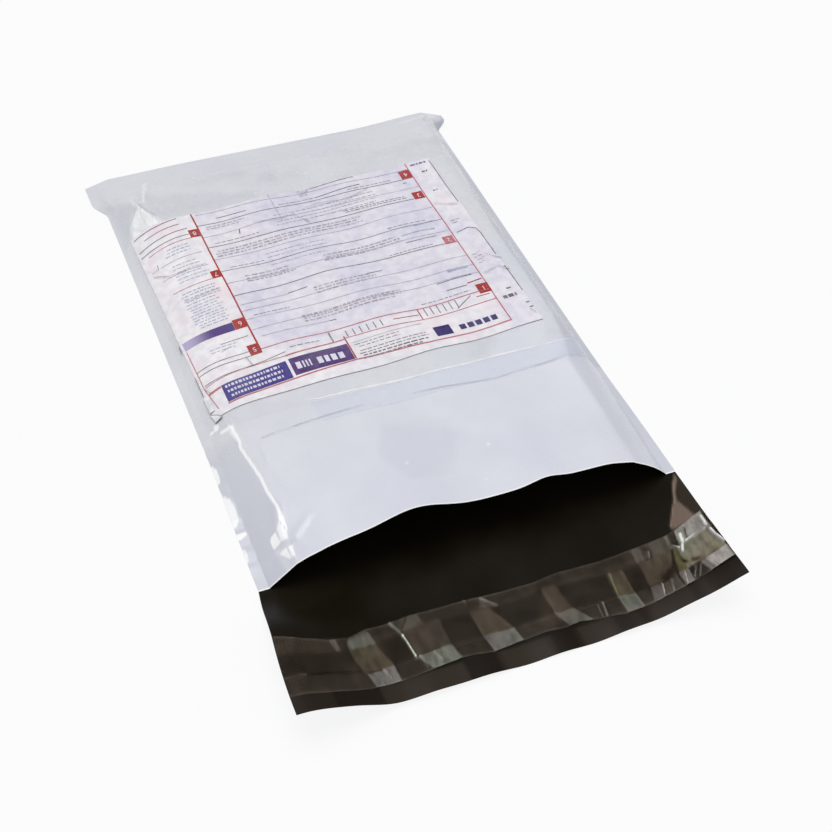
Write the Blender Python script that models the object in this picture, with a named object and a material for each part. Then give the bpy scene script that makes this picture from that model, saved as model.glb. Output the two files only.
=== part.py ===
"""Poly mailer bag with a document pouch, lying open and empty on a table.

Units are metres, +Z is up. The closed end of the bag points to +Y and its mouth to -Y. The flap
is the longer back panel: it lies opened out in front of the mouth, black side up, with the strip
of adhesive and its release liner on it.

Every piece is a sheet of film or paper. A place on a sheet is given by s, the distance across the
bag from its middle, and t, the distance along it. The functions under "How the film lies" turn s
and t into a place in space. Sheets that lie on each other share their grid lines and the diagonal
that splits each cell, so they keep one constant gap and never cross.
"""

import math

import bmesh
import bpy
from mathutils import Vector

# Film of the bag. The real film is 0.06 mm thick; the wall here is thicker, so that it is a sound
# solid.
FLAT_WIDTH = 0.260
PANEL_LENGTH = 0.360
FLAP_LENGTH = 0.090
FILM_WALL = 0.0004
SEAM_WIDTH = 0.006
FOLD_DEPTH = 0.002

# Air between two sheets that touch
SHEET_GAP = 0.0003

# Adhesive strip and release liner on the inner face of the flap
LINER_FROM_EDGE = 0.0115
LINER_WIDTH = 0.039
LINER_THICKNESS = 0.0003
LINER_WAVE_HEIGHT = 0.0007
LINER_WAVE_PITCH = 0.029
LINER_WAVE_SLANT = 0.45
ADHESIVE_WIDTH = 0.021
ADHESIVE_THICKNESS = 0.0003

# Clear document pouch on the front panel
LIP_FROM_MOUTH = 0.0905
LIP_WIDTH = 0.0155
POUCH_FROM_FAR_END = 0.0245
POUCH_WALL = 0.0003
POUCH_SEAM = 0.0015
POUCH_GAPE = 0.0012

# Paper form in the pouch, 220 mm by 171 mm: it lies against the left seam
FORM_THICKNESS = 0.0003
FORM_FROM_POUCH_MOUTH = 0.018
FORM_FROM_POUCH_END = 0.0385
FORM_FROM_LEFT_WELD = 0.001
FORM_FROM_RIGHT_WELD = 0.024

# Height of the open space in the bag, over the form and at the mouth, and the two soft humps of
# the mouth's edge
PLATEAU_HEIGHT = 0.0145
MOUTH_HEIGHT = 0.0238
MOUTH_GROWTH = 1.6
LEFT_HUMP_RISE = 0.0087
LEFT_HUMP_PLACE = -0.0376
LEFT_HUMP_REACH = 0.024
RIGHT_HUMP_RISE = 0.0038
RIGHT_HUMP_PLACE = 0.0395
RIGHT_HUMP_REACH = 0.011

# Width of the sloping flanks beside that space, and how round they are
LEFT_FLANK = 0.053
LEFT_FLANK_AT_MOUTH = 0.056
RIGHT_FLANK = 0.021
RIGHT_FLANK_AT_MOUTH = 0.050
FLANK_ROUNDNESS = 2.6
FLANK_ROUNDNESS_AT_MOUTH = 2.0
FAR_SLOPE_ROUNDNESS = 1.25

# Sharp crease on the left flank: it leaves the seam at the pouch's mouth and runs to the mouth
CREASE_FROM_SEAM = 0.017
CREASE_START_FROM_SEAM = 0.006
CREASE_RUN = 0.055
CREASE_HEIGHT = 0.0028
CREASE_REACH = 0.013

# Slanting fold across the far left corner, from the ear towards the form
CORNER_FOLD_HEIGHT = 0.0016
CORNER_FOLD_REACH = 0.012
CORNER_FOLD_FROM_SEAM = 0.004
CORNER_FOLD_SLANT = 1.4
CORNER_FOLD_RUN = 0.050

# Side seams: how far the filled bag draws them in, and how high they hang off the table with
# their margins turned down
SEAM_INSET = 0.007
SEAM_INSET_AT_MOUTH = 0.006
SEAM_INSET_AT_FAR_END = 0.0005
SEAM_LIFT = 0.003
DRAWN_STRIP = 0.052
SEAM_LIFT_REACH = 0.045

# Far end: the fold stands off the table and its corners bend down. The margin stays flat from the
# corner to the place where it turns down, which leaves an ear.
FAR_LIFT = 0.0055
FAR_LIFT_REACH = 0.060
LEFT_CORNER_LIFT = 0.0045
RIGHT_CORNER_LIFT = 0.0082
CORNER_LIFT_REACH = 0.055
CORNER_WIDTH = 0.016
CORNER_SLANT = 0.35
LEFT_TIP_LIFT = 0.0001
RIGHT_TIP_LIFT = 0.0022
LEFT_EAR_LENGTH = 0.026
RIGHT_EAR_LENGTH = 0.010
LEFT_EAR_TURN = 0.016
RIGHT_EAR_TURN = 0.008

# Flap: both sides curl up, the free end sways to the left, and its edge is wavy with one broad
# swelling
FLAP_CURL = 0.0208
FLAP_CURL_LEFT_REACH = 0.075
FLAP_CURL_RIGHT_REACH = 0.042
FLAP_CURL_RIGHT_REACH_AT_EDGE = 0.105
FLAP_CURL_RUN = 0.046
FLAP_CURL_POWER = 1.5
FLAP_CURL_POWER_AT_EDGE = 2.3
FLAP_CURL_RIGHT_GROWTH = 1.4
FLAP_SWAY = 0.0097
FLAP_WAVE_HEIGHT = 0.0012
FLAP_WAVE_PITCH = 0.038
FLAP_SWELL_HEIGHT = 0.0026
FLAP_SWELL_PLACE = -0.041
FLAP_SWELL_REACH = 0.024

# Largest cell of the grid, across and along the bag
CELL_ACROSS = 0.0095
CELL_ALONG = 0.017
CLOSEST_LINES = 0.0002

# Places across the bag
EDGE_S = FLAT_WIDTH / 2
WELD_S = EDGE_S - SEAM_WIDTH
POUCH_WELD_S = WELD_S - POUCH_SEAM
FORM_LEFT_S = -POUCH_WELD_S + FORM_FROM_LEFT_WELD
FORM_RIGHT_S = POUCH_WELD_S - FORM_FROM_RIGHT_WELD
CREASE_S = -(WELD_S - CREASE_FROM_SEAM)
CREASE_START_S = -(WELD_S - CREASE_START_FROM_SEAM)

# Places along the bag
NEAR_T = -(FLAP_LENGTH + PANEL_LENGTH) / 2
MOUTH_T = NEAR_T + FLAP_LENGTH
FAR_T = MOUTH_T + PANEL_LENGTH
FOLD_T = FAR_T - FOLD_DEPTH
LINER_NEAR_T = NEAR_T + LINER_FROM_EDGE
LINER_FAR_T = LINER_NEAR_T + LINER_WIDTH
ADHESIVE_NEAR_T = LINER_NEAR_T + (LINER_WIDTH - ADHESIVE_WIDTH) / 2
ADHESIVE_FAR_T = ADHESIVE_NEAR_T + ADHESIVE_WIDTH
LIP_T = MOUTH_T + LIP_FROM_MOUTH
POUCH_MOUTH_T = LIP_T + LIP_WIDTH
POUCH_END_T = FAR_T - POUCH_FROM_FAR_END
POUCH_WELD_T = POUCH_END_T - POUCH_SEAM
FORM_NEAR_T = POUCH_MOUTH_T + FORM_FROM_POUCH_MOUTH
FORM_FAR_T = POUCH_END_T - FORM_FROM_POUCH_END


# Helpers: soft steps and bumps

def clamp(value):
    return min(max(value, 0.0), 1.0)


def ease(value):
    value = clamp(value)
    return value * value * (3 - 2 * value)


def mix(first, second, share):
    return first + (second - first) * share


def shoulder(value, roundness):
    """Rises from 0 to 1, steepest at the start, like the flank of a pillow."""
    return 1 - (1 - clamp(value)) ** roundness


def tent(distance, reach):
    return max(0.0, 1 - abs(distance) / reach)


def bell(distance, reach):
    return math.exp(-(distance / reach) ** 2)


# How the film lies

def toward_mouth(t):
    """0 at the pouch's mouth and beyond, 1 at the mouth of the bag."""
    return clamp((POUCH_MOUTH_T - t) / (POUCH_MOUTH_T - MOUTH_T))


def down_flap(t):
    """0 at the mouth of the bag, 1 at the free end of the flap."""
    return clamp((MOUTH_T - t) / FLAP_LENGTH)


def margin_turned(s, t):
    """1 where the seam margin is turned down, 0 where it lies flat, at the corners' ears."""
    ear, turn = LEFT_EAR_LENGTH, LEFT_EAR_TURN
    if s > 0:
        ear, turn = RIGHT_EAR_LENGTH, RIGHT_EAR_TURN
    return ease((FAR_T - ear - t) / turn + 0.5)


def seam_height(s, t):
    """Height of a side seam: lifted along the body, down on the table at the mouth."""
    return SEAM_LIFT * margin_turned(s, t) * ease((t - MOUTH_T) / (LIP_T - MOUTH_T))


def lay_x(s, t):
    """Place across the table: flat in the middle, drawn in beside the seams."""
    across = abs(s)
    turned = margin_turned(s, t)
    body_inset = mix(SEAM_INSET, SEAM_INSET_AT_MOUTH, toward_mouth(t))
    inset = mix(SEAM_INSET_AT_FAR_END, body_inset, turned)
    strip_start = WELD_S - DRAWN_STRIP
    drawn = clamp((across - strip_start) / DRAWN_STRIP)
    margin = max(0.0, across - WELD_S)
    slope = clamp(seam_height(s, t) / SEAM_WIDTH)
    x = min(across, WELD_S) - inset * drawn + margin * math.sqrt(1 - slope * slope)
    sway = FLAP_SWAY * math.sin(down_flap(t) * math.pi / 2)
    return math.copysign(x, s) - sway


def flap_height(s, t):
    """Both sides of the flap curl up, and its free edge is wavy."""
    down = down_flap(t)
    if s < 0:
        grown = ease(down * FLAP_LENGTH / FLAP_CURL_RUN)
        curl = ease((-s - EDGE_S + FLAP_CURL_LEFT_REACH) / FLAP_CURL_LEFT_REACH)
    else:
        grown = shoulder(down, FLAP_CURL_RIGHT_GROWTH)
        spread = ease(down * 2 - 1)
        reach = mix(FLAP_CURL_RIGHT_REACH, FLAP_CURL_RIGHT_REACH_AT_EDGE, spread)
        power = mix(FLAP_CURL_POWER, FLAP_CURL_POWER_AT_EDGE, spread)
        curl = clamp((s - EDGE_S + reach) / reach) ** power
    wave = FLAP_WAVE_HEIGHT * (0.5 - 0.5 * math.cos(2 * math.pi * s / FLAP_WAVE_PITCH))
    swelling = FLAP_SWELL_HEIGHT * bell(s - FLAP_SWELL_PLACE, FLAP_SWELL_REACH) * down
    return FLAP_CURL * grown * curl + (wave + swelling) * down * (1 - curl)


def far_end_height(s, t):
    """The far fold stands off the table, and its corners bend down along a slanting crease."""
    corner_lift = LEFT_CORNER_LIFT if s < 0 else RIGHT_CORNER_LIFT
    tip_lift = LEFT_TIP_LIFT if s < 0 else RIGHT_TIP_LIFT
    crease_s = EDGE_S - CORNER_WIDTH + (FAR_T - t) * CORNER_SLANT
    toward_corner = ease((abs(s) - EDGE_S + CORNER_WIDTH + CORNER_LIFT_REACH) / CORNER_LIFT_REACH)
    lift = mix(FAR_LIFT, corner_lift, toward_corner)
    bend = (corner_lift - tip_lift) / CORNER_WIDTH * max(0.0, abs(s) - crease_s)
    rise = ease((t - FAR_T + FAR_LIFT_REACH) / FAR_LIFT_REACH)
    return max(0.0, lift * rise - bend)


def back_height(s, t):
    """Underside of the back panel and the flap, above the table."""
    if t < MOUTH_T:
        return flap_height(s, t)
    across = abs(s)
    beside = ease((across - WELD_S + SEAM_LIFT_REACH) / SEAM_LIFT_REACH)
    margin = clamp((across - WELD_S) / SEAM_WIDTH)
    side = seam_height(s, t) * beside * (1 - margin)
    return side + far_end_height(s, t) * (1 - margin * margin_turned(s, t))


def left_crease(s, t):
    """The sharp ridge along the left flank."""
    run = clamp((POUCH_MOUTH_T - t) / CREASE_RUN)
    ridge_s = mix(CREASE_START_S, CREASE_S, run)
    return CREASE_HEIGHT * tent(s - ridge_s, CREASE_REACH) * ease(run)


def corner_fold(s, t):
    """The slanting fold that runs from the far left ear towards the form."""
    from_ear = FAR_T - LEFT_EAR_LENGTH - t
    ridge_s = -WELD_S + CORNER_FOLD_FROM_SEAM - from_ear * CORNER_FOLD_SLANT
    fade = clamp((s + WELD_S) / CORNER_FOLD_REACH) * clamp(1 - (s + WELD_S) / CORNER_FOLD_RUN)
    return CORNER_FOLD_HEIGHT * tent(s - ridge_s, CORNER_FOLD_REACH) * fade


def bag_room(s, t):
    """Height of the space between the two panels: nothing at the seams and at the far fold."""
    near = toward_mouth(t)
    roundness = mix(FLANK_ROUNDNESS, FLANK_ROUNDNESS_AT_MOUTH, near)
    left = shoulder((s + WELD_S) / mix(LEFT_FLANK, LEFT_FLANK_AT_MOUTH, near), roundness)
    right = shoulder((WELD_S - s) / mix(RIGHT_FLANK, RIGHT_FLANK_AT_MOUTH, near), roundness)
    far = shoulder((FOLD_T - t) / (FOLD_T - FORM_FAR_T), FAR_SLOPE_ROUNDNESS)
    humps = (
        LEFT_HUMP_RISE * bell(s - LEFT_HUMP_PLACE, LEFT_HUMP_REACH)
        + RIGHT_HUMP_RISE * bell(s - RIGHT_HUMP_PLACE, RIGHT_HUMP_REACH)
    )
    peak = mix(PLATEAU_HEIGHT, MOUTH_HEIGHT, near ** MOUTH_GROWTH) + humps * near * near
    folds = (left_crease(s, t) + corner_fold(s, t)) * clamp((FOLD_T - t) / CORNER_FOLD_REACH)
    return (peak * right * far + folds) * left


def front_top(s, t):
    """Top of the front panel."""
    return back_height(s, t) + 2 * FILM_WALL + bag_room(s, t)


def pouch_under(s, t):
    return front_top(s, t) + SHEET_GAP


def pouch_room(s, t):
    """Height of the space in the pouch: the form with its gaps, closing towards the welds."""
    form_space = FORM_THICKNESS + 2 * SHEET_GAP
    side_clearance = FORM_FROM_LEFT_WELD if s < 0 else FORM_FROM_RIGHT_WELD
    side = clamp((POUCH_WELD_S - abs(s)) / side_clearance)
    end = clamp((POUCH_WELD_T - t) / (POUCH_WELD_T - FORM_FAR_T))
    open_mouth = clamp(1 - (t - POUCH_MOUTH_T) / FORM_FROM_POUCH_MOUTH)
    gape = POUCH_GAPE * open_mouth * (1 - (s / POUCH_WELD_S) ** 2)
    return form_space * side * end + gape * side


def form_under(s, t):
    return pouch_under(s, t) + POUCH_WALL + SHEET_GAP


def flap_top(s, t):
    return back_height(s, t) + FILM_WALL


def adhesive_under(s, t):
    return flap_top(s, t) + SHEET_GAP


def liner_under(s, t):
    """The liner is puckered in slanting waves, because it is stiffer than the curled flap."""
    turn = 2 * math.pi * (s - (t - LINER_NEAR_T) * LINER_WAVE_SLANT) / LINER_WAVE_PITCH
    wave = LINER_WAVE_HEIGHT * (0.5 - 0.5 * math.cos(turn))
    return adhesive_under(s, t) + ADHESIVE_THICKNESS + SHEET_GAP + wave


# Grid lines that all the sheets share

def grid_lines(marks, cell):
    """Sorted lines through every mark, filled in so that no cell is wider than cell."""
    lines = []
    for mark in sorted(marks):
        if not lines:
            lines.append(mark)
            continue
        start = lines[-1]
        if mark - start < CLOSEST_LINES:
            continue
        count = math.ceil((mark - start) / cell)
        for step in range(1, count + 1):
            lines.append(start + (mark - start) * step / count)
    return lines


def nearest(lines, value):
    return min(range(len(lines)), key=lambda index: abs(lines[index] - value))


def between(lines, low, high):
    return lines[nearest(lines, low):nearest(lines, high) + 1]


SIDE_MARKS = [EDGE_S, WELD_S, POUCH_WELD_S, WELD_S - DRAWN_STRIP]
ACROSS = grid_lines(
    SIDE_MARKS + [-mark for mark in SIDE_MARKS] + [FORM_LEFT_S, FORM_RIGHT_S, CREASE_S],
    CELL_ACROSS,
)
ALONG = grid_lines(
    [
        NEAR_T, LINER_NEAR_T, ADHESIVE_NEAR_T, ADHESIVE_FAR_T, LINER_FAR_T, MOUTH_T,
        LIP_T, POUCH_MOUTH_T, FORM_NEAR_T, FORM_FAR_T, POUCH_WELD_T, POUCH_END_T,
        FAR_T - LEFT_EAR_LENGTH - LEFT_EAR_TURN / 2, FAR_T - RIGHT_EAR_LENGTH - RIGHT_EAR_TURN / 2,
        FAR_T - RIGHT_EAR_LENGTH + RIGHT_EAR_TURN / 2, FOLD_T, FAR_T,
    ],
    CELL_ALONG,
)


# Mesh builders

def add_cell(bm, corners, welded=()):
    """A four-sided cell as two triangles, always split from its first corner to its third.

    A triangle with all its corners in welded is left out: there the two panels are one solid.
    """
    for triangle in ((corners[0], corners[1], corners[2]), (corners[0], corners[2], corners[3])):
        if all(corner in welded for corner in triangle):
            continue
        face = bm.faces.new(triangle)
        face.smooth = True


def add_grid(bm, vertices, columns, rows, welded=()):
    """Cells between the vertices of a grid, which is a dictionary of (column, row)."""
    for i in columns:
        for j in rows:
            corners = [
                vertices[i, j], vertices[i + 1, j], vertices[i + 1, j + 1], vertices[i, j + 1],
            ]
            add_cell(bm, corners, welded)


def new_object(name, bm, material):
    bmesh.ops.recalc_face_normals(bm, faces=bm.faces)
    mesh = bpy.data.meshes.new(name)
    bm.to_mesh(mesh)
    bm.free()
    mesh.materials.append(material)
    made = bpy.data.objects.new(name, mesh)
    bpy.context.scene.collection.objects.link(made)
    return made


def new_material(name, colour, roughness, alpha=1.0):
    material = bpy.data.materials.new(name)
    material.use_nodes = True
    shader = material.node_tree.nodes["Principled BSDF"]
    shader.inputs["Base Color"].default_value = (*colour, 1.0)
    shader.inputs["Roughness"].default_value = roughness
    shader.inputs["Metallic"].default_value = 0.0
    shader.inputs["Alpha"].default_value = alpha
    return material


def pocket(name, across, along, weld_s, mouth_t, end_t, under, room, wall, material):
    """A film pocket in one piece: a back panel with a longer near end, and a front panel.

    The panels are one solid beyond weld_s at both sides and beyond end_t at the far end. Between
    them is a real space, room() high, open at mouth_t.
    """
    bm = bmesh.new()
    last_column = len(across) - 1
    last_row = len(along) - 1
    mouth = nearest(along, mouth_t)
    end = nearest(along, end_t)
    left = nearest(across, -weld_s)
    right = nearest(across, weld_s)

    def vertex(i, j, height):
        s, t = across[i], along[j]
        return bm.verts.new((lay_x(s, t), t, under(s, t) + height))

    back_out, back_in, front_in, front_out = {}, {}, {}, {}
    welded = set()
    for i in range(last_column + 1):
        for j in range(last_row + 1):
            back_out[i, j] = vertex(i, j, 0.0)
            inside = left <= i <= right and j <= end
            if j <= mouth or inside:
                back_in[i, j] = vertex(i, j, wall)
            if j < mouth:
                continue
            apart = left < i < right and j < end
            height = room(across[i], along[j]) if apart else 0.0
            front_out[i, j] = vertex(i, j, 2 * wall + height)
            if apart:
                front_in[i, j] = vertex(i, j, wall + height)
            elif inside:
                front_in[i, j] = back_in[i, j]
                welded.add(back_in[i, j])

    columns = range(last_column)
    space = range(left, right)
    add_grid(bm, back_out, columns, range(last_row))
    add_grid(bm, front_out, columns, range(mouth, last_row))
    add_grid(bm, back_in, columns, range(mouth))
    add_grid(bm, back_in, space, range(mouth, end), welded)
    add_grid(bm, front_in, space, range(mouth, end), welded)

    for i in columns:
        inner = front_in if i in space else back_in
        cell = [front_out[i, mouth], front_out[i + 1, mouth], inner[i + 1, mouth], inner[i, mouth]]
        add_cell(bm, cell)
        add_cell(bm, [back_out[i, 0], back_out[i + 1, 0], back_in[i + 1, 0], back_in[i, 0]])
        cell = [back_out[i, last_row], back_out[i + 1, last_row],
                front_out[i + 1, last_row], front_out[i, last_row]]
        add_cell(bm, cell)

    for i in (0, last_column):
        for j in range(last_row):
            upper = back_in if j < mouth else front_out
            add_cell(bm, [upper[i, j], back_out[i, j], back_out[i, j + 1], upper[i, j + 1]])
        step = bm.faces.new((front_out[i, mouth], back_in[i, mouth], back_out[i, mouth]))
        step.smooth = True
    return new_object(name, bm, material)


def sheet(name, across, along, under, thickness, material):
    """A plain sheet of even thickness, laid on under()."""
    bm = bmesh.new()
    bottom, top = {}, {}
    for i, s in enumerate(across):
        for j, t in enumerate(along):
            bottom[i, j] = bm.verts.new((lay_x(s, t), t, under(s, t)))
            top[i, j] = bm.verts.new((lay_x(s, t), t, under(s, t) + thickness))
    last_column = len(across) - 1
    last_row = len(along) - 1
    add_grid(bm, bottom, range(last_column), range(last_row))
    add_grid(bm, top, range(last_column), range(last_row))
    for i in range(last_column):
        for j in (0, last_row):
            add_cell(bm, [bottom[i, j], bottom[i + 1, j], top[i + 1, j], top[i, j]])
    for j in range(last_row):
        for i in (0, last_column):
            add_cell(bm, [bottom[i, j], bottom[i, j + 1], top[i, j + 1], top[i, j]])
    return new_object(name, bm, material)


# The pieces

def build_bag_film():
    white = new_material("film_white", (0.70, 0.72, 0.77), 0.32)
    return pocket(
        "bag_film", ACROSS, ALONG, WELD_S, MOUTH_T, FOLD_T,
        back_height, bag_room, FILM_WALL, white,
    )


def build_document_pouch():
    clear = new_material("pouch_clear", (0.90, 0.91, 0.93), 0.18, alpha=0.25)
    return pocket(
        "document_pouch", between(ACROSS, -WELD_S, WELD_S), between(ALONG, LIP_T, POUCH_END_T),
        POUCH_WELD_S, POUCH_MOUTH_T, POUCH_WELD_T,
        pouch_under, pouch_room, POUCH_WALL, clear,
    )


def build_waybill():
    paper = new_material("form_paper", (0.72, 0.68, 0.76), 0.70)
    return sheet(
        "waybill", between(ACROSS, FORM_LEFT_S, FORM_RIGHT_S),
        between(ALONG, FORM_NEAR_T, FORM_FAR_T), form_under, FORM_THICKNESS, paper,
    )


def build_flap_adhesive():
    glue = new_material("adhesive_strip", (0.07, 0.065, 0.035), 0.30)
    return sheet(
        "flap_adhesive", ACROSS, between(ALONG, ADHESIVE_NEAR_T, ADHESIVE_FAR_T),
        adhesive_under, ADHESIVE_THICKNESS, glue,
    )


def build_release_liner():
    clear = new_material("liner_clear", (0.80, 0.80, 0.76), 0.12, alpha=0.30)
    return sheet(
        "release_liner", ACROSS, between(ALONG, LINER_NEAR_T, LINER_FAR_T),
        liner_under, LINER_THICKNESS, clear,
    )


def centre_on_footprint(pieces):
    """Moves all pieces so that the origin is under the middle of the footprint."""
    places = [vertex.co for piece in pieces for vertex in piece.data.vertices]
    middle_x = (min(place.x for place in places) + max(place.x for place in places)) / 2
    middle_y = (min(place.y for place in places) + max(place.y for place in places)) / 2
    for piece in pieces:
        piece.location = Vector((-middle_x, -middle_y, 0.0))


def main():
    for old in list(bpy.data.objects):
        bpy.data.objects.remove(old, do_unlink=True)
    pieces = [
        build_bag_film(),
        build_document_pouch(),
        build_waybill(),
        build_flap_adhesive(),
        build_release_liner(),
    ]
    centre_on_footprint(pieces)


main()
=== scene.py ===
"""Looks of the poly mailer bag: film, document pouch, printed form, adhesive and liner.

Units are metres, +Z is up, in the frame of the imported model. A place on a sheet is given by s, the
distance across the bag from its middle, and t, the distance along it, as in the model. The
functions under "How the film lies" turn s and t into a place in space. They take arrays.
"""

import math

import bmesh
import bpy
import numpy as np
from mathutils import Matrix, Vector


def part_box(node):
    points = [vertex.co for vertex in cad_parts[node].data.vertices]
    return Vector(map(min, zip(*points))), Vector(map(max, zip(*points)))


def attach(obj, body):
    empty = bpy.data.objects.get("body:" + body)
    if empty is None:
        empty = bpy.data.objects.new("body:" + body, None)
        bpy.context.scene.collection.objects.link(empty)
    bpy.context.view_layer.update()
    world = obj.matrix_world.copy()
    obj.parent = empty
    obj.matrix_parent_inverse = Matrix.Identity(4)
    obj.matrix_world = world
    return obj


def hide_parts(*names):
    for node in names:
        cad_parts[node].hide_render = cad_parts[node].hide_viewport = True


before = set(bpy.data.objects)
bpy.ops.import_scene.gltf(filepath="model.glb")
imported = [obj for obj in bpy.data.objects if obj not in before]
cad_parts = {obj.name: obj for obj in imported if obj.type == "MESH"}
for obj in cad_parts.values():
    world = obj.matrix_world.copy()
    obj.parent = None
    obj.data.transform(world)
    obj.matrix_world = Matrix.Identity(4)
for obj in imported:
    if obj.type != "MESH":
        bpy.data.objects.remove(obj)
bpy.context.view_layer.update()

# Bag, as in the model
FLAT_WIDTH = 0.260
PANEL_LENGTH = 0.360
FLAP_LENGTH = 0.090
SEAM_WIDTH = 0.006
FOLD_DEPTH = 0.002
LINER_FROM_EDGE = 0.0115
LINER_WIDTH = 0.039
ADHESIVE_WIDTH = 0.021
LIP_FROM_MOUTH = 0.0905
LIP_WIDTH = 0.0155
POUCH_FROM_FAR_END = 0.0245
POUCH_SEAM = 0.0015
POUCH_GAPE = 0.0002
ROOM_LEFT_AT_MOUTH = 0.15
FORM_FROM_POUCH_END = 0.0385
FORM_FROM_POUCH_MOUTH = 0.018
FORM_FROM_LEFT_WELD = 0.001
FORM_FROM_RIGHT_WELD = 0.024

PLATEAU_HEIGHT = 0.0145
MOUTH_HEIGHT = 0.0238
MOUTH_GROWTH = 1.6
LEFT_HUMP_RISE = 0.0087
LEFT_HUMP_PLACE = -0.0376
LEFT_HUMP_REACH = 0.024
RIGHT_HUMP_RISE = 0.0038
RIGHT_HUMP_PLACE = 0.0395
RIGHT_HUMP_REACH = 0.011

LEFT_FLANK = 0.053
LEFT_FLANK_AT_MOUTH = 0.056
RIGHT_FLANK = 0.021
RIGHT_FLANK_AT_MOUTH = 0.050
FLANK_ROUNDNESS = 2.6
FLANK_ROUNDNESS_AT_MOUTH = 2.0
FAR_SLOPE_ROUNDNESS = 1.25

CREASE_FROM_SEAM = 0.017
CREASE_START_FROM_SEAM = 0.006
CREASE_RUN = 0.055
CREASE_HEIGHT = 0.0028
CREASE_REACH = 0.013
CORNER_FOLD_HEIGHT = 0.0016
CORNER_FOLD_REACH = 0.012
CORNER_FOLD_FROM_SEAM = 0.004
CORNER_FOLD_SLANT = 1.4
CORNER_FOLD_RUN = 0.050

SEAM_INSET = 0.007
SEAM_INSET_AT_MOUTH = 0.006
SEAM_INSET_AT_FAR_END = 0.0005
SEAM_LIFT = 0.003
DRAWN_STRIP = 0.052
SEAM_LIFT_REACH = 0.045

FAR_LIFT = 0.0055
FAR_LIFT_REACH = 0.060
LEFT_CORNER_LIFT = 0.0045
RIGHT_CORNER_LIFT = 0.0082
CORNER_LIFT_REACH = 0.055
CORNER_WIDTH = 0.016
CORNER_SLANT = 0.35
LEFT_TIP_LIFT = 0.0001
RIGHT_TIP_LIFT = 0.0022
LEFT_EAR_LENGTH = 0.026
RIGHT_EAR_LENGTH = 0.010
LEFT_EAR_TURN = 0.016
RIGHT_EAR_TURN = 0.008

FLAP_CURL = 0.0208
FLAP_CURL_LEFT_REACH = 0.075
FLAP_CURL_RIGHT_REACH = 0.042
FLAP_CURL_RIGHT_REACH_AT_EDGE = 0.105
FLAP_CURL_RUN = 0.046
FLAP_CURL_POWER = 1.5
FLAP_CURL_POWER_AT_EDGE = 2.3
FLAP_CURL_RIGHT_GROWTH = 1.4
FLAP_SWAY = 0.0097
FLAP_WAVE_HEIGHT = 0.0012
FLAP_WAVE_PITCH = 0.038
FLAP_SWELL_HEIGHT = 0.0026
FLAP_SWELL_PLACE = -0.041
FLAP_SWELL_REACH = 0.024

# Thickness of the sheets as they are shown, the air between two that touch, and the room that the
# pouch leaves over the form
MODEL_WALL = 0.0004
FILM = 0.0003
PLY = 0.00012
PAPER = 0.00015
STRIP = 0.00012
AIR = 0.00015
ROOM_OVER_FORM = 0.00025

# The form in the pouch: its near left corner, how far it is turned, and its long soft waves
FORM_WIDTH = 0.220
FORM_LENGTH = 0.173
FORM_CORNER_S = -0.1175
FORM_CORNER_T = -0.0158
FORM_TURN = math.radians(1.7)
FORM_WAVE = 0.0006
FORM_WAVE_ACROSS = 0.062
FORM_WAVE_ALONG = 0.210

# Ink is this thick and lies this far above the paper. White ink lies on the colours.
INK = 0.00003
INK_LIFT = 0.00007
WHITE_INK_LIFT = 0.00012

# Sizes of the grid cells
CELL_ACROSS = 0.0026
CELL_ACROSS_AT_SIDES = 0.0011
CELL_ALONG = 0.0024
CELL_ALONG_AT_MOUTH = 0.0016
CELL_ALONG_UNDER_FORM = 0.0040
LINER_CELL_ACROSS = 0.0005
LINER_CELL_ALONG = 0.0013
FORM_CELL = 0.0020
PRINT_CELL = 0.0025
EDGE_CELL = 0.0010
CLOSEST_LINES = 0.0002

# Where the grid of the film changes: it is finer at the sides and at the mouth
LEFT_SIDE_S = -0.098
RIGHT_SIDE_S = 0.104
MOUTH_ZONE_T = -0.094
FORM_ZONE_T = (-0.012, 0.150)

# Places across and along the bag
EDGE_S = FLAT_WIDTH / 2
WELD_S = EDGE_S - SEAM_WIDTH
POUCH_WELD_S = WELD_S - POUCH_SEAM
CREASE_S = -(WELD_S - CREASE_FROM_SEAM)
CREASE_START_S = -(WELD_S - CREASE_START_FROM_SEAM)
NEAR_T = -(FLAP_LENGTH + PANEL_LENGTH) / 2
MOUTH_T = NEAR_T + FLAP_LENGTH
FAR_T = MOUTH_T + PANEL_LENGTH
FOLD_T = FAR_T - FOLD_DEPTH
LINER_NEAR_T = NEAR_T + LINER_FROM_EDGE
ADHESIVE_NEAR_T = LINER_NEAR_T + (LINER_WIDTH - ADHESIVE_WIDTH) / 2
ADHESIVE_FAR_T = ADHESIVE_NEAR_T + ADHESIVE_WIDTH
LIP_T = MOUTH_T + LIP_FROM_MOUTH
POUCH_MOUTH_T = LIP_T + LIP_WIDTH
POUCH_END_T = FAR_T - POUCH_FROM_FAR_END
POUCH_WELD_T = POUCH_END_T - POUCH_SEAM
FORM_FAR_T = POUCH_END_T - FORM_FROM_POUCH_END

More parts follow.
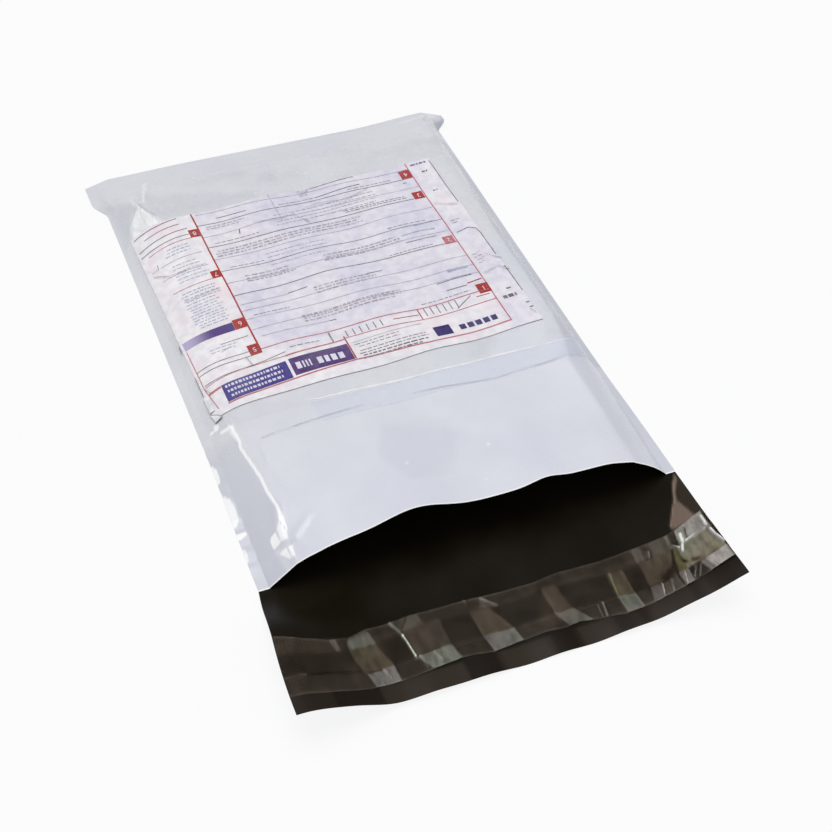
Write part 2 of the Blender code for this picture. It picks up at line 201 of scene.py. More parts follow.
# Creases of the front panel: height, reach to each side, and the places that the fold runs
# through. A valley has a negative height.
FRONT_CREASES = [
    # Sharp ridge down the left flank to the mouth
    (0.0009, 0.0032, [(-0.112, -0.020), (-0.1085, -0.045), (-0.106, -0.060), (-0.1045, -0.075),
                      (-0.105, -0.092), (-0.1045, -0.101)]),
    # Crushed place where that ridge meets the mouth
    (0.0013, 0.0060, [(-0.1045, -0.095), (-0.1065, -0.104), (-0.1095, -0.116)]),
    (-0.0010, 0.0022, [(-0.1145, -0.1185), (-0.1030, -0.1215)]),
    (0.0010, 0.0050, [(-0.1085, -0.123), (-0.1070, -0.132)]),
    # Round bulge at the near left corner of the form
    (0.0014, 0.0075, [(-0.1135, -0.0228), (-0.1130, -0.0232)]),
    # Soft folds beside it
    (0.0004, 0.0045, [(-0.097, -0.046), (-0.0985, -0.066), (-0.099, -0.082), (-0.095, -0.098),
                      (-0.088, -0.109)]),
    (0.0008, 0.0045, [(-0.102, -0.119), (-0.090, -0.1095)]),
    # Soft facets of the middle
    (0.0005, 0.0060, [(-0.028, -0.058), (-0.039, -0.085)]),
    (0.0005, 0.0060, [(-0.028, -0.058), (0.012, -0.070)]),
    (0.0003, 0.0030, [(0.009, -0.080), (0.005, -0.092)]),
    (0.0003, 0.0030, [(0.000, -0.098), (-0.004, -0.110)]),
    (0.0003, 0.0020, [(-0.0245, -0.092), (-0.0265, -0.097)]),
    (0.0003, 0.0020, [(0.0245, -0.092), (0.0225, -0.097)]),
    (0.0003, 0.0020, [(0.0105, -0.120), (0.0085, -0.126)]),
    (0.0003, 0.0020, [(0.0590, -0.120), (0.0570, -0.126)]),
    # Soft edge along the right flank
    (0.0009, 0.0080, [(0.101, -0.044), (0.096, -0.134)]),
    # Facets of the far left corner
    (0.0024, 0.0070, [(-0.111, 0.189), (-0.110, 0.179), (-0.1185, 0.166)]),
    (0.0026, 0.0070, [(-0.109, 0.181), (-0.104, 0.170), (-0.1015, 0.163)]),
    (0.0012, 0.0070, [(-0.104, 0.185), (-0.101, 0.192), (-0.094, 0.204)]),
    (-0.0004, 0.0040, [(-0.110, 0.176), (-0.1090, 0.166)]),
    # Long soft folds between the form and the far end
    (0.0010, 0.0110, [(-0.100, 0.192), (-0.060, 0.198), (-0.020, 0.197)]),
    (-0.0015, 0.0150, [(-0.095, 0.176), (-0.060, 0.171), (-0.030, 0.176)]),
    (0.0009, 0.0070, [(-0.012, 0.190), (-0.026, 0.164)]),
    (0.0006, 0.0030, [(-0.028, 0.196), (0.010, 0.1955), (0.046, 0.198)]),
    (0.0005, 0.0030, [(-0.058, 0.205), (-0.004, 0.206)]),
    (0.0006, 0.0030, [(0.024, 0.223), (0.029, 0.210)]),
    (0.0008, 0.0050, [(0.060, 0.164), (0.066, 0.176)]),
    (0.0009, 0.0060, [(0.078, 0.168), (0.100, 0.180), (0.118, 0.192)]),
    (-0.0024, 0.0045, [(0.1145, 0.2235), (0.1165, 0.212), (0.1200, 0.202)]),
    (0.0012, 0.0030, [(0.1115, 0.2235), (0.1125, 0.210), (0.1165, 0.200)]),
]

# Broad soft swellings of the front panel: height, wave length across and along, and phase
FRONT_SWELLS = [
    (0.00030, 0.083, 0.310, 0.4),
    (0.00025, 0.240, 0.061, 1.9),
    (0.00018, 0.052, -0.090, 3.1),
]

# Rumples of the pouch film over the form, as for the front panel
POUCH_SWELLS = [
    (0.00014, 0.190, 0.023, 0.3),
    (0.00010, 0.045, 0.037, 2.2),
    (0.00010, -0.060, 0.029, 4.0),
]

# Painted highlights: the white film is painted a brighter white along its folds, crushed places
# and seam margin: strength, reach and path of a line, and strength, blur and corners of a patch
HIGHLIGHT_LINES = [
    (1.1, 0.0020, [(-0.1100, -0.029), (-0.1095, -0.034), (-0.1088, -0.039), (-0.1100, -0.044),
                   (-0.1088, -0.052), (-0.1075, -0.060), (-0.1060, -0.072), (-0.1060, -0.082),
                   (-0.1050, -0.090), (-0.1040, -0.098)]),
    (0.8, 0.0022, [(-0.1230, -0.0230), (-0.1190, -0.0215)]),
    (0.45, 0.0050, [(-0.1035, 0.185), (-0.1015, 0.192), (-0.0960, 0.200), (-0.0930, 0.207)]),
    (0.5, 0.0030, [(-0.1120, 0.191), (-0.1105, 0.181)]),
    (0.5, 0.0020, [(-0.0245, -0.092), (-0.0265, -0.097)]),
    (0.5, 0.0020, [(0.0245, -0.092), (0.0225, -0.097)]),
    (0.4, 0.0020, [(0.0105, -0.120), (0.0085, -0.126)]),
    (0.4, 0.0020, [(0.0590, -0.120), (0.0570, -0.126)]),
    (0.45, 0.0025, [(-0.0125, 0.190), (-0.0055, 0.180)]),
    (0.4, 0.0030, [(-0.0260, 0.174), (-0.0285, 0.166)]),
    (0.4, 0.0025, [(0.1125, 0.222), (0.1130, 0.209)]),
]
HIGHLIGHT_PATCHES = [
    (0.45, 0.0016, [(-0.1135, -0.0290), (-0.1085, -0.0280), (-0.1080, -0.0390), (-0.1105, -0.0400)]),
    (0.80, 0.0014, [(-0.1185, -0.0258), (-0.1140, -0.0262), (-0.1082, -0.0258), (-0.1085, -0.0292),
                    (-0.1165, -0.0285)]),
    (0.80, 0.0012, [(-0.1195, -0.0188), (-0.1165, -0.0190), (-0.1172, -0.0228), (-0.1205, -0.0240)]),
    (0.90, 0.0010, [(-0.1050, -0.093), (-0.1030, -0.100), (-0.1036, -0.113), (-0.1062, -0.1040)]),
    (0.60, 0.0010, [(-0.1068, -0.1045), (-0.1046, -0.1120), (-0.1052, -0.1180), (-0.1092, -0.1175),
                    (-0.1098, -0.1085)]),
    (0.90, 0.0010, [(-0.1150, -0.1105), (-0.1108, -0.1085), (-0.1100, -0.1172), (-0.1148, -0.1165)]),
    (0.90, 0.0010, [(-0.1130, -0.1212), (-0.1085, -0.1215), (-0.1080, -0.1296), (-0.1092, -0.1290)]),
    (0.75, 0.0010, [(-0.1074, -0.1216), (-0.1048, -0.1222), (-0.1055, -0.1308), (-0.1070, -0.1302)]),
    (0.35, 0.0020, [(-0.0945, -0.1165), (-0.0898, -0.1095), (-0.0900, -0.1170)]),
    (0.70, 0.0016, [(-0.1310, -0.041), (-0.1275, -0.046), (-0.1275, -0.056), (-0.1310, -0.059)]),
    (0.62, 0.0016, [(-0.1310, -0.064), (-0.1262, -0.070), (-0.1252, -0.080), (-0.1260, -0.088),
                   (-0.1310, -0.092)]),
    (0.70, 0.0012, [(-0.1310, -0.0948), (-0.1245, -0.0955), (-0.1250, -0.0985),
                   (-0.1310, -0.0995)]),
    (0.50, 0.0016, [(-0.1310, -0.104), (-0.1280, -0.106), (-0.1285, -0.114), (-0.1310, -0.117)]),
    (1.0, 0.0012, [(-0.1212, 0.1560), (-0.1182, 0.1612), (-0.1130, 0.1562)]),
    (0.85, 0.0022, [(-0.1095, 0.179), (-0.1065, 0.176), (-0.1000, 0.157), (-0.1065, 0.157)]),
    (0.35, 0.0030, [(-0.1060, 0.176), (-0.0990, 0.166), (-0.0920, 0.157), (-0.1000, 0.157)]),
    (0.42, 0.0025, [(-0.1095, 0.179), (-0.1205, 0.167), (-0.1215, 0.158), (-0.1065, 0.157)]),
    (0.35, 0.0020, [(-0.0965, 0.182), (-0.0935, 0.181), (-0.0905, 0.172), (-0.0935, 0.172)]),
]
# Width of the painted highlight along the edge of the bag's mouth
MOUTH_RIM = 0.0012

# Painted shade where the white film is turned away: strength, blur and corners
SHADED_PATCHES = [
    (0.22, 0.0060, [(-0.1310, 0.1990), (0.1310, 0.1990), (0.1310, 0.2350), (-0.1310, 0.2350)]),
    (0.19, 0.0050, [(-0.027, -0.060), (-0.038, -0.082), (-0.030, -0.110), (-0.004, -0.110),
                    (0.009, -0.082), (0.010, -0.068)]),
    (0.38, 0.0070, [(-0.101, 0.190), (-0.097, 0.160), (-0.030, 0.158), (-0.026, 0.170),
                    (-0.060, 0.181), (-0.084, 0.188)]),
    (0.22, 0.0050, [(-0.070, 0.190), (-0.070, 0.197), (-0.030, 0.197), (-0.026, 0.190)]),
    (0.26, 0.0040, [(-0.025, 0.177), (-0.011, 0.177), (-0.006, 0.189), (-0.018, 0.189)]),
    (0.19, 0.0060, [(0.055, 0.180), (0.062, 0.190), (0.105, 0.192), (0.108, 0.184),
                    (0.080, 0.178)]),
    (0.34, 0.0040, [(-0.128, 0.200), (-0.113, 0.186), (-0.122, 0.160), (-0.128, 0.150)]),
    (0.22, 0.0020, [(-0.104, -0.1175), (-0.0945, -0.1110), (-0.0950, -0.1085),
                    (-0.1050, -0.1150)]),
]
# Painted shade along the right and the left flank: its edge at each place along, and its strength
SHADED_RIGHT_T = [-0.135, -0.048, -0.025, -0.005, 0.085, 0.120, 0.150, 0.201, 0.226]
SHADED_RIGHT_S = [0.0990, 0.1010, 0.1085, 0.1120, 0.1120, 0.1140, 0.1190, 0.1220, 0.1290]
SHADED_RIGHT = 0.55
SHADED_LEFT_T = [-0.132, -0.118, -0.104, -0.095, -0.075, -0.060, -0.045, -0.030]
SHADED_LEFT_S = [-0.1130, -0.1145, -0.1085, -0.1060, -0.1065, -0.1080, -0.1095, -0.1115]
SHADED_LEFT = 0.52
SHADED_LEFT_FAR_T = -0.034

# Waves of the left seam margin
PUCKER_HEIGHT = 0.0008
PUCKER_PITCH = 0.0115
PUCKER_NEAR_T = -0.125
PUCKER_FAR_T = 0.020

# Fold of the flap's right side: place across at each place along, and how sharp it is
SIDE_FOLD_T = [-0.195, -0.177, -0.172, -0.167, -0.160, -0.155, -0.147, -0.141, -0.135]
SIDE_FOLD_S = [0.106, 0.1095, 0.1108, 0.1138, 0.1178, 0.1212, 0.1240, 0.1265, 0.129]
SIDE_FOLD_SHARE = 0.6
# Where the painted highlight on the flap's right side ends, how wide it is along the fold, and where its darker
# strip begins
SIDE_FOLD_END = ([0.1095, 0.1150], [-0.1720, -0.1745])
SIDE_FOLD_EDGE = 0.0008
SIDE_FACET_T = [-0.1765, -0.170, -0.156, -0.150, -0.141]
SIDE_FACET_S = [0.1258, 0.1246, 0.1222, 0.1238, 0.1285]

# A white strip along the pouch's mouth is a painted highlight of its edge, and the edge of its lip
# a thin line of painted shade
BEAD_HIGHLIGHT_WIDTH = 0.0012
BEAD_HIGHLIGHT_HEIGHT = 0.00012
BEAD_HIGHLIGHT_TAPER = 0.020
BEAD_HIGHLIGHT_PATH = [(-0.0620, -0.0219), (-0.0590, -0.0247), (-0.0520, -0.0259), (-0.030, -0.0260),
                   (0.000, -0.0274), (0.035, -0.0282), (0.060, -0.0274), (0.085, -0.0286),
                   (0.100, -0.0294), (0.115, -0.0306)]
LIP_SHADE_WIDTH = 0.0012
LIP_SHADE_PATHS = [
    [(-0.0960, -0.0440), (-0.0800, -0.0432), (-0.0600, -0.0415), (-0.0300, -0.0400)],
    [(0.0000, -0.0405), (0.0200, -0.0420), (0.0500, -0.0455), (0.0700, -0.0435), (0.1020, -0.0430)],
]

# Painted shade along thin creases of the pouch film over the form, and painted highlights where it
# is crumpled
CREASE_SHADE_WIDTH = 0.0005
CREASE_SHADE_PATHS = [
    [(-0.1195, -0.0115), (-0.1150, -0.0145), (-0.1128, -0.0173), (-0.1182, -0.0190)],
    [(-0.1205, 0.0430), (-0.1205, 0.0500)],
    [(-0.1180, 0.1178), (-0.1130, 0.1176), (-0.1128, 0.1215)],
    [(-0.1180, 0.1140), (-0.1085, 0.1063), (-0.0960, 0.1060)],
    [(-0.1190, 0.0200), (-0.1185, 0.0040)],
    [(-0.1160, 0.0080), (-0.1135, 0.0030)],
    [(0.0915, 0.0590), (0.1015, 0.0510)],
    [(0.0830, 0.0420), (0.0960, 0.0450), (0.1015, 0.0380)],
    [(0.0800, 0.1170), (0.0960, 0.1107)],
    [(-0.0130, 0.1380), (-0.0060, 0.1255)],
    [(-0.0080, 0.1300), (-0.0050, 0.1250)],
    [(-0.0050, 0.1390), (0.0060, 0.1420), (0.0250, 0.1400), (0.0430, 0.1465)],
    [(-0.0400, 0.1360), (-0.0180, 0.1345)],
    [(0.0980, 0.0010), (0.1005, -0.0030)],
    [(-0.0830, 0.0190), (-0.0810, 0.0110)],
]
CRUMPLE_HIGHLIGHTS = [
    [(-0.1190, -0.0118), (-0.1184, -0.0115), (-0.1130, -0.0172), (-0.1180, -0.0186)],
    [(-0.1192, 0.0027), (-0.1160, 0.0030), (-0.1155, -0.0100), (-0.1190, -0.0105)],
]


# Helpers: soft steps and bumps

def clamp(value):
    return np.clip(value, 0.0, 1.0)


def ease(value):
    value = clamp(value)
    return value * value * (3 - 2 * value)


def mix(first, second, share):
    return first + (second - first) * share


def shoulder(value, roundness):
    """Rises from 0 to 1, steepest at the start, like the flank of a pillow."""
    return 1 - (1 - clamp(value)) ** roundness


def tent(distance, reach):
    return np.maximum(0.0, 1 - np.abs(distance) / reach)


def bell(distance, reach):
    return np.exp(-(distance / reach) ** 2)


def step_up(value, at, blur):
    """Soft step from 0 to 1 where value passes at."""
    return ease((value - at) / blur + 0.5)


def fold(s, t, reach, path):
    """1 along a line of folded film, falling to 0 at reach, with a sharp top."""
    nearest = np.full(np.shape(s), np.inf)
    for (s0, t0), (s1, t1) in zip(path, path[1:]):
        length = (s1 - s0) ** 2 + (t1 - t0) ** 2
        run = clamp(((s - s0) * (s1 - s0) + (t - t0) * (t1 - t0)) / length)
        nearest = np.minimum(nearest, np.hypot(s - mix(s0, s1, run), t - mix(t0, t1, run)))
    return clamp(1 - nearest / reach) ** 2


def inside(s, t, corners, blur):
    """1 inside a convex patch, falling to 0 across its blurred edges."""
    turn = sum(s0 * t1 - s1 * t0 for (s0, t0), (s1, t1) in zip(corners, corners[1:] + corners[:1]))
    share = np.ones(np.shape(s))
    for (s0, t0), (s1, t1) in zip(corners, corners[1:] + corners[:1]):
        length = math.hypot(s1 - s0, t1 - t0)
        depth = ((s1 - s0) * (t - t0) - (t1 - t0) * (s - s0)) / length * math.copysign(1, turn)
        share = np.minimum(share, step_up(depth, 0.0, blur))
    return share


def swell(s, t, swells):
    total = 0.0
    for height, across, along, phase in swells:
        total = total + height * np.sin(2 * math.pi * (s / across + t / along) + phase)
    return total


# How the film lies

def toward_mouth(t):
    """0 at the pouch's mouth and beyond, 1 at the mouth of the bag."""
    return clamp((POUCH_MOUTH_T - t) / (POUCH_MOUTH_T - MOUTH_T))


def down_flap(t):
    """0 at the mouth of the bag, 1 at the free end of the flap."""
    return clamp((MOUTH_T - t) / FLAP_LENGTH)


def margin_turned(s, t):
    """1 where the seam margin is turned down, 0 where it lies flat, at the corners' ears."""
    ear = np.where(s < 0, LEFT_EAR_LENGTH, RIGHT_EAR_LENGTH)
    turn = np.where(s < 0, LEFT_EAR_TURN, RIGHT_EAR_TURN)
    return ease((FAR_T - ear - t) / turn + 0.5)


def seam_height(s, t):
    """Height of a side seam: lifted along the body, down on the table at the mouth."""
    return SEAM_LIFT * margin_turned(s, t) * ease((t - MOUTH_T) / (LIP_T - MOUTH_T))


def lay_x(s, t):
    """Place across the table: flat in the middle, drawn in beside the seams."""
    across = np.abs(s)
    turned = margin_turned(s, t)
    body_inset = mix(SEAM_INSET, SEAM_INSET_AT_MOUTH, toward_mouth(t))
    inset = mix(SEAM_INSET_AT_FAR_END, body_inset, turned)
    drawn = clamp((across - WELD_S + DRAWN_STRIP) / DRAWN_STRIP)
    margin = np.maximum(0.0, across - WELD_S)
    slope = clamp(seam_height(s, t) / SEAM_WIDTH)
    x = np.minimum(across, WELD_S) - inset * drawn + margin * np.sqrt(1 - slope * slope)
    return np.copysign(x, s) - FLAP_SWAY * np.sin(down_flap(t) * math.pi / 2) + SHIFT_X


def flap_height(s, t):
    """Both sides of the flap curl up, the right one along a fold, and its free edge is wavy."""
    down = down_flap(t)
    left_grown = ease(down * FLAP_LENGTH / FLAP_CURL_RUN)
    left_curl = ease((-s - EDGE_S + FLAP_CURL_LEFT_REACH) / FLAP_CURL_LEFT_REACH)
    right_grown = shoulder(down, FLAP_CURL_RIGHT_GROWTH)
    spread = ease(down * 2 - 1)
    reach = mix(FLAP_CURL_RIGHT_REACH, FLAP_CURL_RIGHT_REACH_AT_EDGE, spread)
    power = mix(FLAP_CURL_POWER, FLAP_CURL_POWER_AT_EDGE, spread)
    right_curl = clamp((s - EDGE_S + reach) / reach) ** power
    fold_s = np.interp(t, SIDE_FOLD_T, SIDE_FOLD_S)
    folded = clamp((s - fold_s) / (EDGE_S - fold_s))
    share = SIDE_FOLD_SHARE * ease((t - SIDE_FOLD_T[0]) / (SIDE_FOLD_T[1] - SIDE_FOLD_T[0]))
    right_curl = mix(right_curl, folded, share)
    grown = np.where(s < 0, left_grown, right_grown)
    curl = np.where(s < 0, left_curl, right_curl)
    wave = FLAP_WAVE_HEIGHT * (0.5 - 0.5 * np.cos(2 * math.pi * s / FLAP_WAVE_PITCH))
    swelling = FLAP_SWELL_HEIGHT * bell(s - FLAP_SWELL_PLACE, FLAP_SWELL_REACH) * down
    return FLAP_CURL * grown * curl + (wave + swelling) * down * (1 - curl)


def far_end_height(s, t):
    """The far fold stands off the table, and its corners bend down along a slanting crease."""
    corner_lift = np.where(s < 0, LEFT_CORNER_LIFT, RIGHT_CORNER_LIFT)
    tip_lift = np.where(s < 0, LEFT_TIP_LIFT, RIGHT_TIP_LIFT)
    across = np.abs(s)
    crease_s = EDGE_S - CORNER_WIDTH + (FAR_T - t) * CORNER_SLANT
    toward_corner = ease((across - EDGE_S + CORNER_WIDTH + CORNER_LIFT_REACH) / CORNER_LIFT_REACH)
    lift = mix(FAR_LIFT, corner_lift, toward_corner)
    bend = (corner_lift - tip_lift) / CORNER_WIDTH * np.maximum(0.0, across - crease_s)
    rise = ease((t - FAR_T + FAR_LIFT_REACH) / FAR_LIFT_REACH)
    return np.maximum(0.0, lift * rise - bend)


def pucker(s, t):
    """Small waves of the left seam margin, in front of the pouch."""
    wave = 0.5 - 0.5 * np.cos(2 * math.pi * t / PUCKER_PITCH)
    run = ease((t - PUCKER_NEAR_T) / PUCKER_PITCH) * ease((PUCKER_FAR_T - t) / PUCKER_PITCH)
    return PUCKER_HEIGHT * wave * run * ease((-s - WELD_S) / SEAM_WIDTH + 0.5)


def back_height(s, t):
    """Underside of the back panel and the flap, above the table."""
    across = np.abs(s)
    beside = ease((across - WELD_S + SEAM_LIFT_REACH) / SEAM_LIFT_REACH)
    margin = clamp((across - WELD_S) / SEAM_WIDTH)
    side = seam_height(s, t) * beside * (1 - margin) + pucker(s, t)
    body = side + far_end_height(s, t) * (1 - margin * margin_turned(s, t))
    return np.where(t < MOUTH_T, flap_height(s, t), body)


def left_crease(s, t):
    run = clamp((POUCH_MOUTH_T - t) / CREASE_RUN)
    ridge_s = mix(CREASE_START_S, CREASE_S, run)
    return CREASE_HEIGHT * tent(s - ridge_s, CREASE_REACH) * ease(run)


def corner_fold(s, t):
    from_ear = FAR_T - LEFT_EAR_LENGTH - t
    ridge_s = -WELD_S + CORNER_FOLD_FROM_SEAM - from_ear * CORNER_FOLD_SLANT
    fade = clamp((s + WELD_S) / CORNER_FOLD_REACH) * clamp(1 - (s + WELD_S) / CORNER_FOLD_RUN)
    return CORNER_FOLD_HEIGHT * tent(s - ridge_s, CORNER_FOLD_REACH) * fade


def bag_room(s, t):
    """Height of the space between the two panels: nothing at the seams and at the far fold."""
    near = toward_mouth(t)
    roundness = mix(FLANK_ROUNDNESS, FLANK_ROUNDNESS_AT_MOUTH, near)
    left = shoulder((s + WELD_S) / mix(LEFT_FLANK, LEFT_FLANK_AT_MOUTH, near), roundness)
    right = shoulder((WELD_S - s) / mix(RIGHT_FLANK, RIGHT_FLANK_AT_MOUTH, near), roundness)
    far = shoulder((FOLD_T - t) / (FOLD_T - FORM_FAR_T), FAR_SLOPE_ROUNDNESS)
    humps = (
        LEFT_HUMP_RISE * bell(s - LEFT_HUMP_PLACE, LEFT_HUMP_REACH)
        + RIGHT_HUMP_RISE * bell(s - RIGHT_HUMP_PLACE, RIGHT_HUMP_REACH)
    )
    peak = mix(PLATEAU_HEIGHT, MOUTH_HEIGHT, near ** MOUTH_GROWTH) + humps * near * near
    folds = (left_crease(s, t) + corner_fold(s, t)) * clamp((FOLD_T - t) / CORNER_FOLD_REACH)
    return (peak * right * far + folds) * left + fine_folds(s, t) + 2 * (MODEL_WALL - FILM)


def fine_folds(s, t):
    """Sharp creases and broad swellings of the front panel, none of them at its seams."""
    inner = ease((WELD_S - np.abs(s)) / 0.008) * ease((FOLD_T - t) / 0.010)
    total = swell(s, t, FRONT_SWELLS)
    for height, reach, path in FRONT_CREASES:
        total = total + height * fold(s, t, reach, path)
    return total * inner


def painted_highlight(s, t):
    """Painted highlight: 1 on the film's folds and crushed places, and along the edge of the mouth."""
    total = tent(t - MOUTH_T, MOUTH_RIM)
    for strength, reach, path in HIGHLIGHT_LINES:
        total = total + strength * fold(s, t, reach, path)
    for strength, blur, corners in HIGHLIGHT_PATCHES:
        total = np.maximum(total, strength * inside(s, t, corners, blur))
    return clamp(total) * (t > MOUTH_T - CLOSEST_LINES)


def painted_shade(s, t):
    """Painted shade: 1 where the white film is turned away most."""
    total = np.zeros(np.shape(s))
    for strength, blur, corners in SHADED_PATCHES:
        total = np.maximum(total, strength * inside(s, t, corners, blur))
    right = step_up(s, np.interp(t, SHADED_RIGHT_T, SHADED_RIGHT_S), 0.0030)
    right = right * mix(SHADED_RIGHT, 1.0, step_up(t, -0.046, 0.004))
    left = step_up(-s, -np.interp(t, SHADED_LEFT_T, SHADED_LEFT_S), 0.0020)
    left = left * step_up(-t, -SHADED_LEFT_FAR_T, 0.012) * SHADED_LEFT
    return np.maximum(total, np.maximum(right, left)) * (t > MOUTH_T)


def painted_side_highlight(s, t):
    """Painted highlight on the flap's right side: most along its fold, less in the dark strip."""
    fold_s = np.interp(t, SIDE_FOLD_T, SIDE_FOLD_S)
    beyond = step_up(s, fold_s, 0.0015)
    lit = mix(0.78, 0.12, step_up(s, np.interp(t, SIDE_FACET_T, SIDE_FACET_S), 0.0015))
    lit = np.maximum(lit * beyond, bell(s - fold_s, SIDE_FOLD_EDGE) * step_up(-t, 0.141, 0.004))
    return lit * step_up(t, np.interp(s, *SIDE_FOLD_END), 0.0015) * (t < MOUTH_T - CLOSEST_LINES)


def painted_edge_sheen(s, t):
    """Painted sheen along the flap's free edge: how light it is from place to place."""
    return np.interp(s, *EDGE_SHEEN) + 0 * t


def front_top(s, t):
    """Top of the front panel."""
    return back_height(s, t) + 2 * FILM + bag_room(s, t)


def pouch_under(s, t):
    return front_top(s, t) + AIR


def pouch_room(s, t):
    """Height of the space in the pouch: the form with its gaps, closing towards the welds."""
    side_clearance = np.where(s < 0, FORM_FROM_LEFT_WELD, FORM_FROM_RIGHT_WELD)
    side = clamp((POUCH_WELD_S - np.abs(s)) / side_clearance)
    end = clamp((POUCH_WELD_T - t) / (POUCH_WELD_T - FORM_FAR_T))
    open_mouth = clamp(1 - (t - POUCH_MOUTH_T) / FORM_FROM_POUCH_MOUTH)
    flattened = 1 - (1 - ROOM_LEFT_AT_MOUTH) * ease(open_mouth)
    gape = POUCH_GAPE * open_mouth * (1 - (s / POUCH_WELD_S) ** 2)
    rumple = swell(s, t, POUCH_SWELLS) + sum(swelling[0] for swelling in POUCH_SWELLS)
    return (AIR + PAPER + ROOM_OVER_FORM + rumple) * side * end * flattened + gape * side


def pouch_top(s, t):
    """Top of the pouch's front ply, and of its lip in front of that."""
    return pouch_under(s, t) + 2 * PLY + np.where(t > POUCH_MOUTH_T, pouch_room(s, t), 0.0)


def form_under(s, t):
    return pouch_under(s, t) + PLY + AIR


def flap_top(s, t):
    return back_height(s, t) + FILM


def adhesive_under(s, t):
    return flap_top(s, t) + AIR


def liner_under(s, t):
    return adhesive_under(s, t) + STRIP + AIR + liner_wave(s, t)


# The liner: wavy edges, and patches where it stands off the flap and reflections are painted

LINER_FAR_EDGE = (
    [-0.130, -0.115, -0.100, -0.088, -0.075, -0.060, -0.050, -0.020, 0.020, 0.035, 0.060, 0.078,
     0.095, 0.105, 0.130],
    [-0.1785, -0.1830, -0.1850, -0.1845, -0.1790, -0.1778, -0.1768, -0.1778, -0.1795, -0.1775,
     -0.1788, -0.1772, -0.1765, -0.1757, -0.1722],
)
LINER_NEAR_EDGE = (
    [-0.130, -0.110, -0.092, -0.075, -0.050, -0.030, -0.015, 0.000, 0.015, 0.025, 0.035, 0.050,
     0.060, 0.075, 0.095, 0.130],
    [-0.2150, -0.2162, -0.2164, -0.2145, -0.2128, -0.2110, -0.2132, -0.2112, -0.2108, -0.2118,
     -0.2105, -0.2135, -0.2155, -0.2152, -0.2145, -0.2115],
)
GLUE_FAR_EDGE = (
    [-0.130, -0.105, -0.088, -0.072, -0.055, -0.035, -0.018, 0.010, 0.028, 0.045, 0.060, 0.080,
     0.104, 0.130],
    [-0.1900, -0.1930, -0.1922, -0.1888, -0.1850, -0.1838, -0.1860, -0.1870, -0.1848, -0.1868,
     -0.1885, -0.1872, -0.1868, -0.1858],
)
GLUE_NEAR_EDGE = (
    [-0.130, -0.095, -0.083, -0.066, -0.050, -0.035, -0.017, 0.000, 0.036, 0.050, 0.072, 0.090,
     0.100, 0.130],
    [-0.2040, -0.2070, -0.2068, -0.2035, -0.2022, -0.2010, -0.2023, -0.2016, -0.2014, -0.2028,
     -0.2044, -0.2062, -0.2045, -0.2028],
)
LINER_BLUR = 0.0012

# Patches of the liner, in its far margin, over the glue or in its near margin: the two sides at
# the zone's far line, the same at its near line, and how bright its painted reflection is
LINER_PATCHES = [
    ("far", -0.0995, -0.0945, -0.0965, -0.0940, 0.60),
    ("far", -0.0885, -0.0740, -0.0885, -0.0712, 0.68),
    ("far", -0.0625, -0.0520, -0.0575, -0.0560, 0.26),
    ("far", -0.0510, -0.0460, -0.0560, -0.0435, 0.46),
    ("far", -0.0195, -0.0112, -0.0180, -0.0130, 0.02),
    ("far", -0.0112, -0.0095, -0.0130, -0.0030, 0.34),
    ("far", 0.0595, 0.0710, 0.0600, 0.0705, 0.14),
    ("far", 0.0720, 0.0800, 0.0720, 0.0800, 0.10),
    ("far", 0.0800, 0.0860, 0.0800, 0.0860, 0.50),
    ("far", 0.0860, 0.0920, 0.0860, 0.0920, 0.20),
    ("far", 0.0920, 0.1030, 0.0910, 0.1025, 0.42),
    ("far", 0.1030, 0.1075, 0.1030, 0.1060, 0.66),
    ("far", 0.1110, 0.1280, 0.1090, 0.1280, 1.50),
    ("glue", -0.0890, -0.0718, -0.0845, -0.0658, 0.48),
    ("glue", -0.0558, -0.0350, -0.0530, -0.0340, 0.37),
    ("glue", -0.0187, -0.0075, -0.0167, 0.0010, 0.46),
    ("glue", 0.0225, 0.0312, 0.0245, 0.0350, 0.42),
    ("glue", 0.0600, 0.0702, 0.0602, 0.0702, 0.52),
    ("glue", 0.0812, 0.1030, 0.0798, 0.0970, 0.46),
    ("glue", 0.1040, 0.1060, 0.0985, 0.1040, 0.76),
    ("glue", 0.1060, 0.1280, 0.1040, 0.1290, 1.12),
    ("near", -0.0830, -0.0660, -0.0795, -0.0650, 0.78),
    ("near", -0.0533, -0.0340, -0.0467, -0.0308, 0.84),
    ("near", -0.0167, 0.0008, -0.0140, 0.0033, 0.75),
    ("near", 0.0035, 0.0220, 0.0035, 0.0220, 0.12),
    ("near", 0.0240, 0.0350, 0.0300, 0.0440, 0.60),
    ("near", 0.0370, 0.0490, 0.0440, 0.0500, 0.05),
    ("near", 0.0600, 0.0702, 0.0610, 0.0712, 0.71),
    ("near", 0.0702, 0.0780, 0.0712, 0.0765, 0.12),
    ("near", 0.0795, 0.0870, 0.0765, 0.0835, 0.57),
    ("near", 0.0870, 0.0970, 0.0835, 0.0970, 0.39),
    ("near", 0.0980, 0.1045, 0.0980, 0.1035, 0.88),
    ("near", 0.1120, 0.1150, 0.1150, 0.1180, 0.87),
    ("near", 0.1150, 0.1290, 0.1180, 0.1290, 1.66),
]
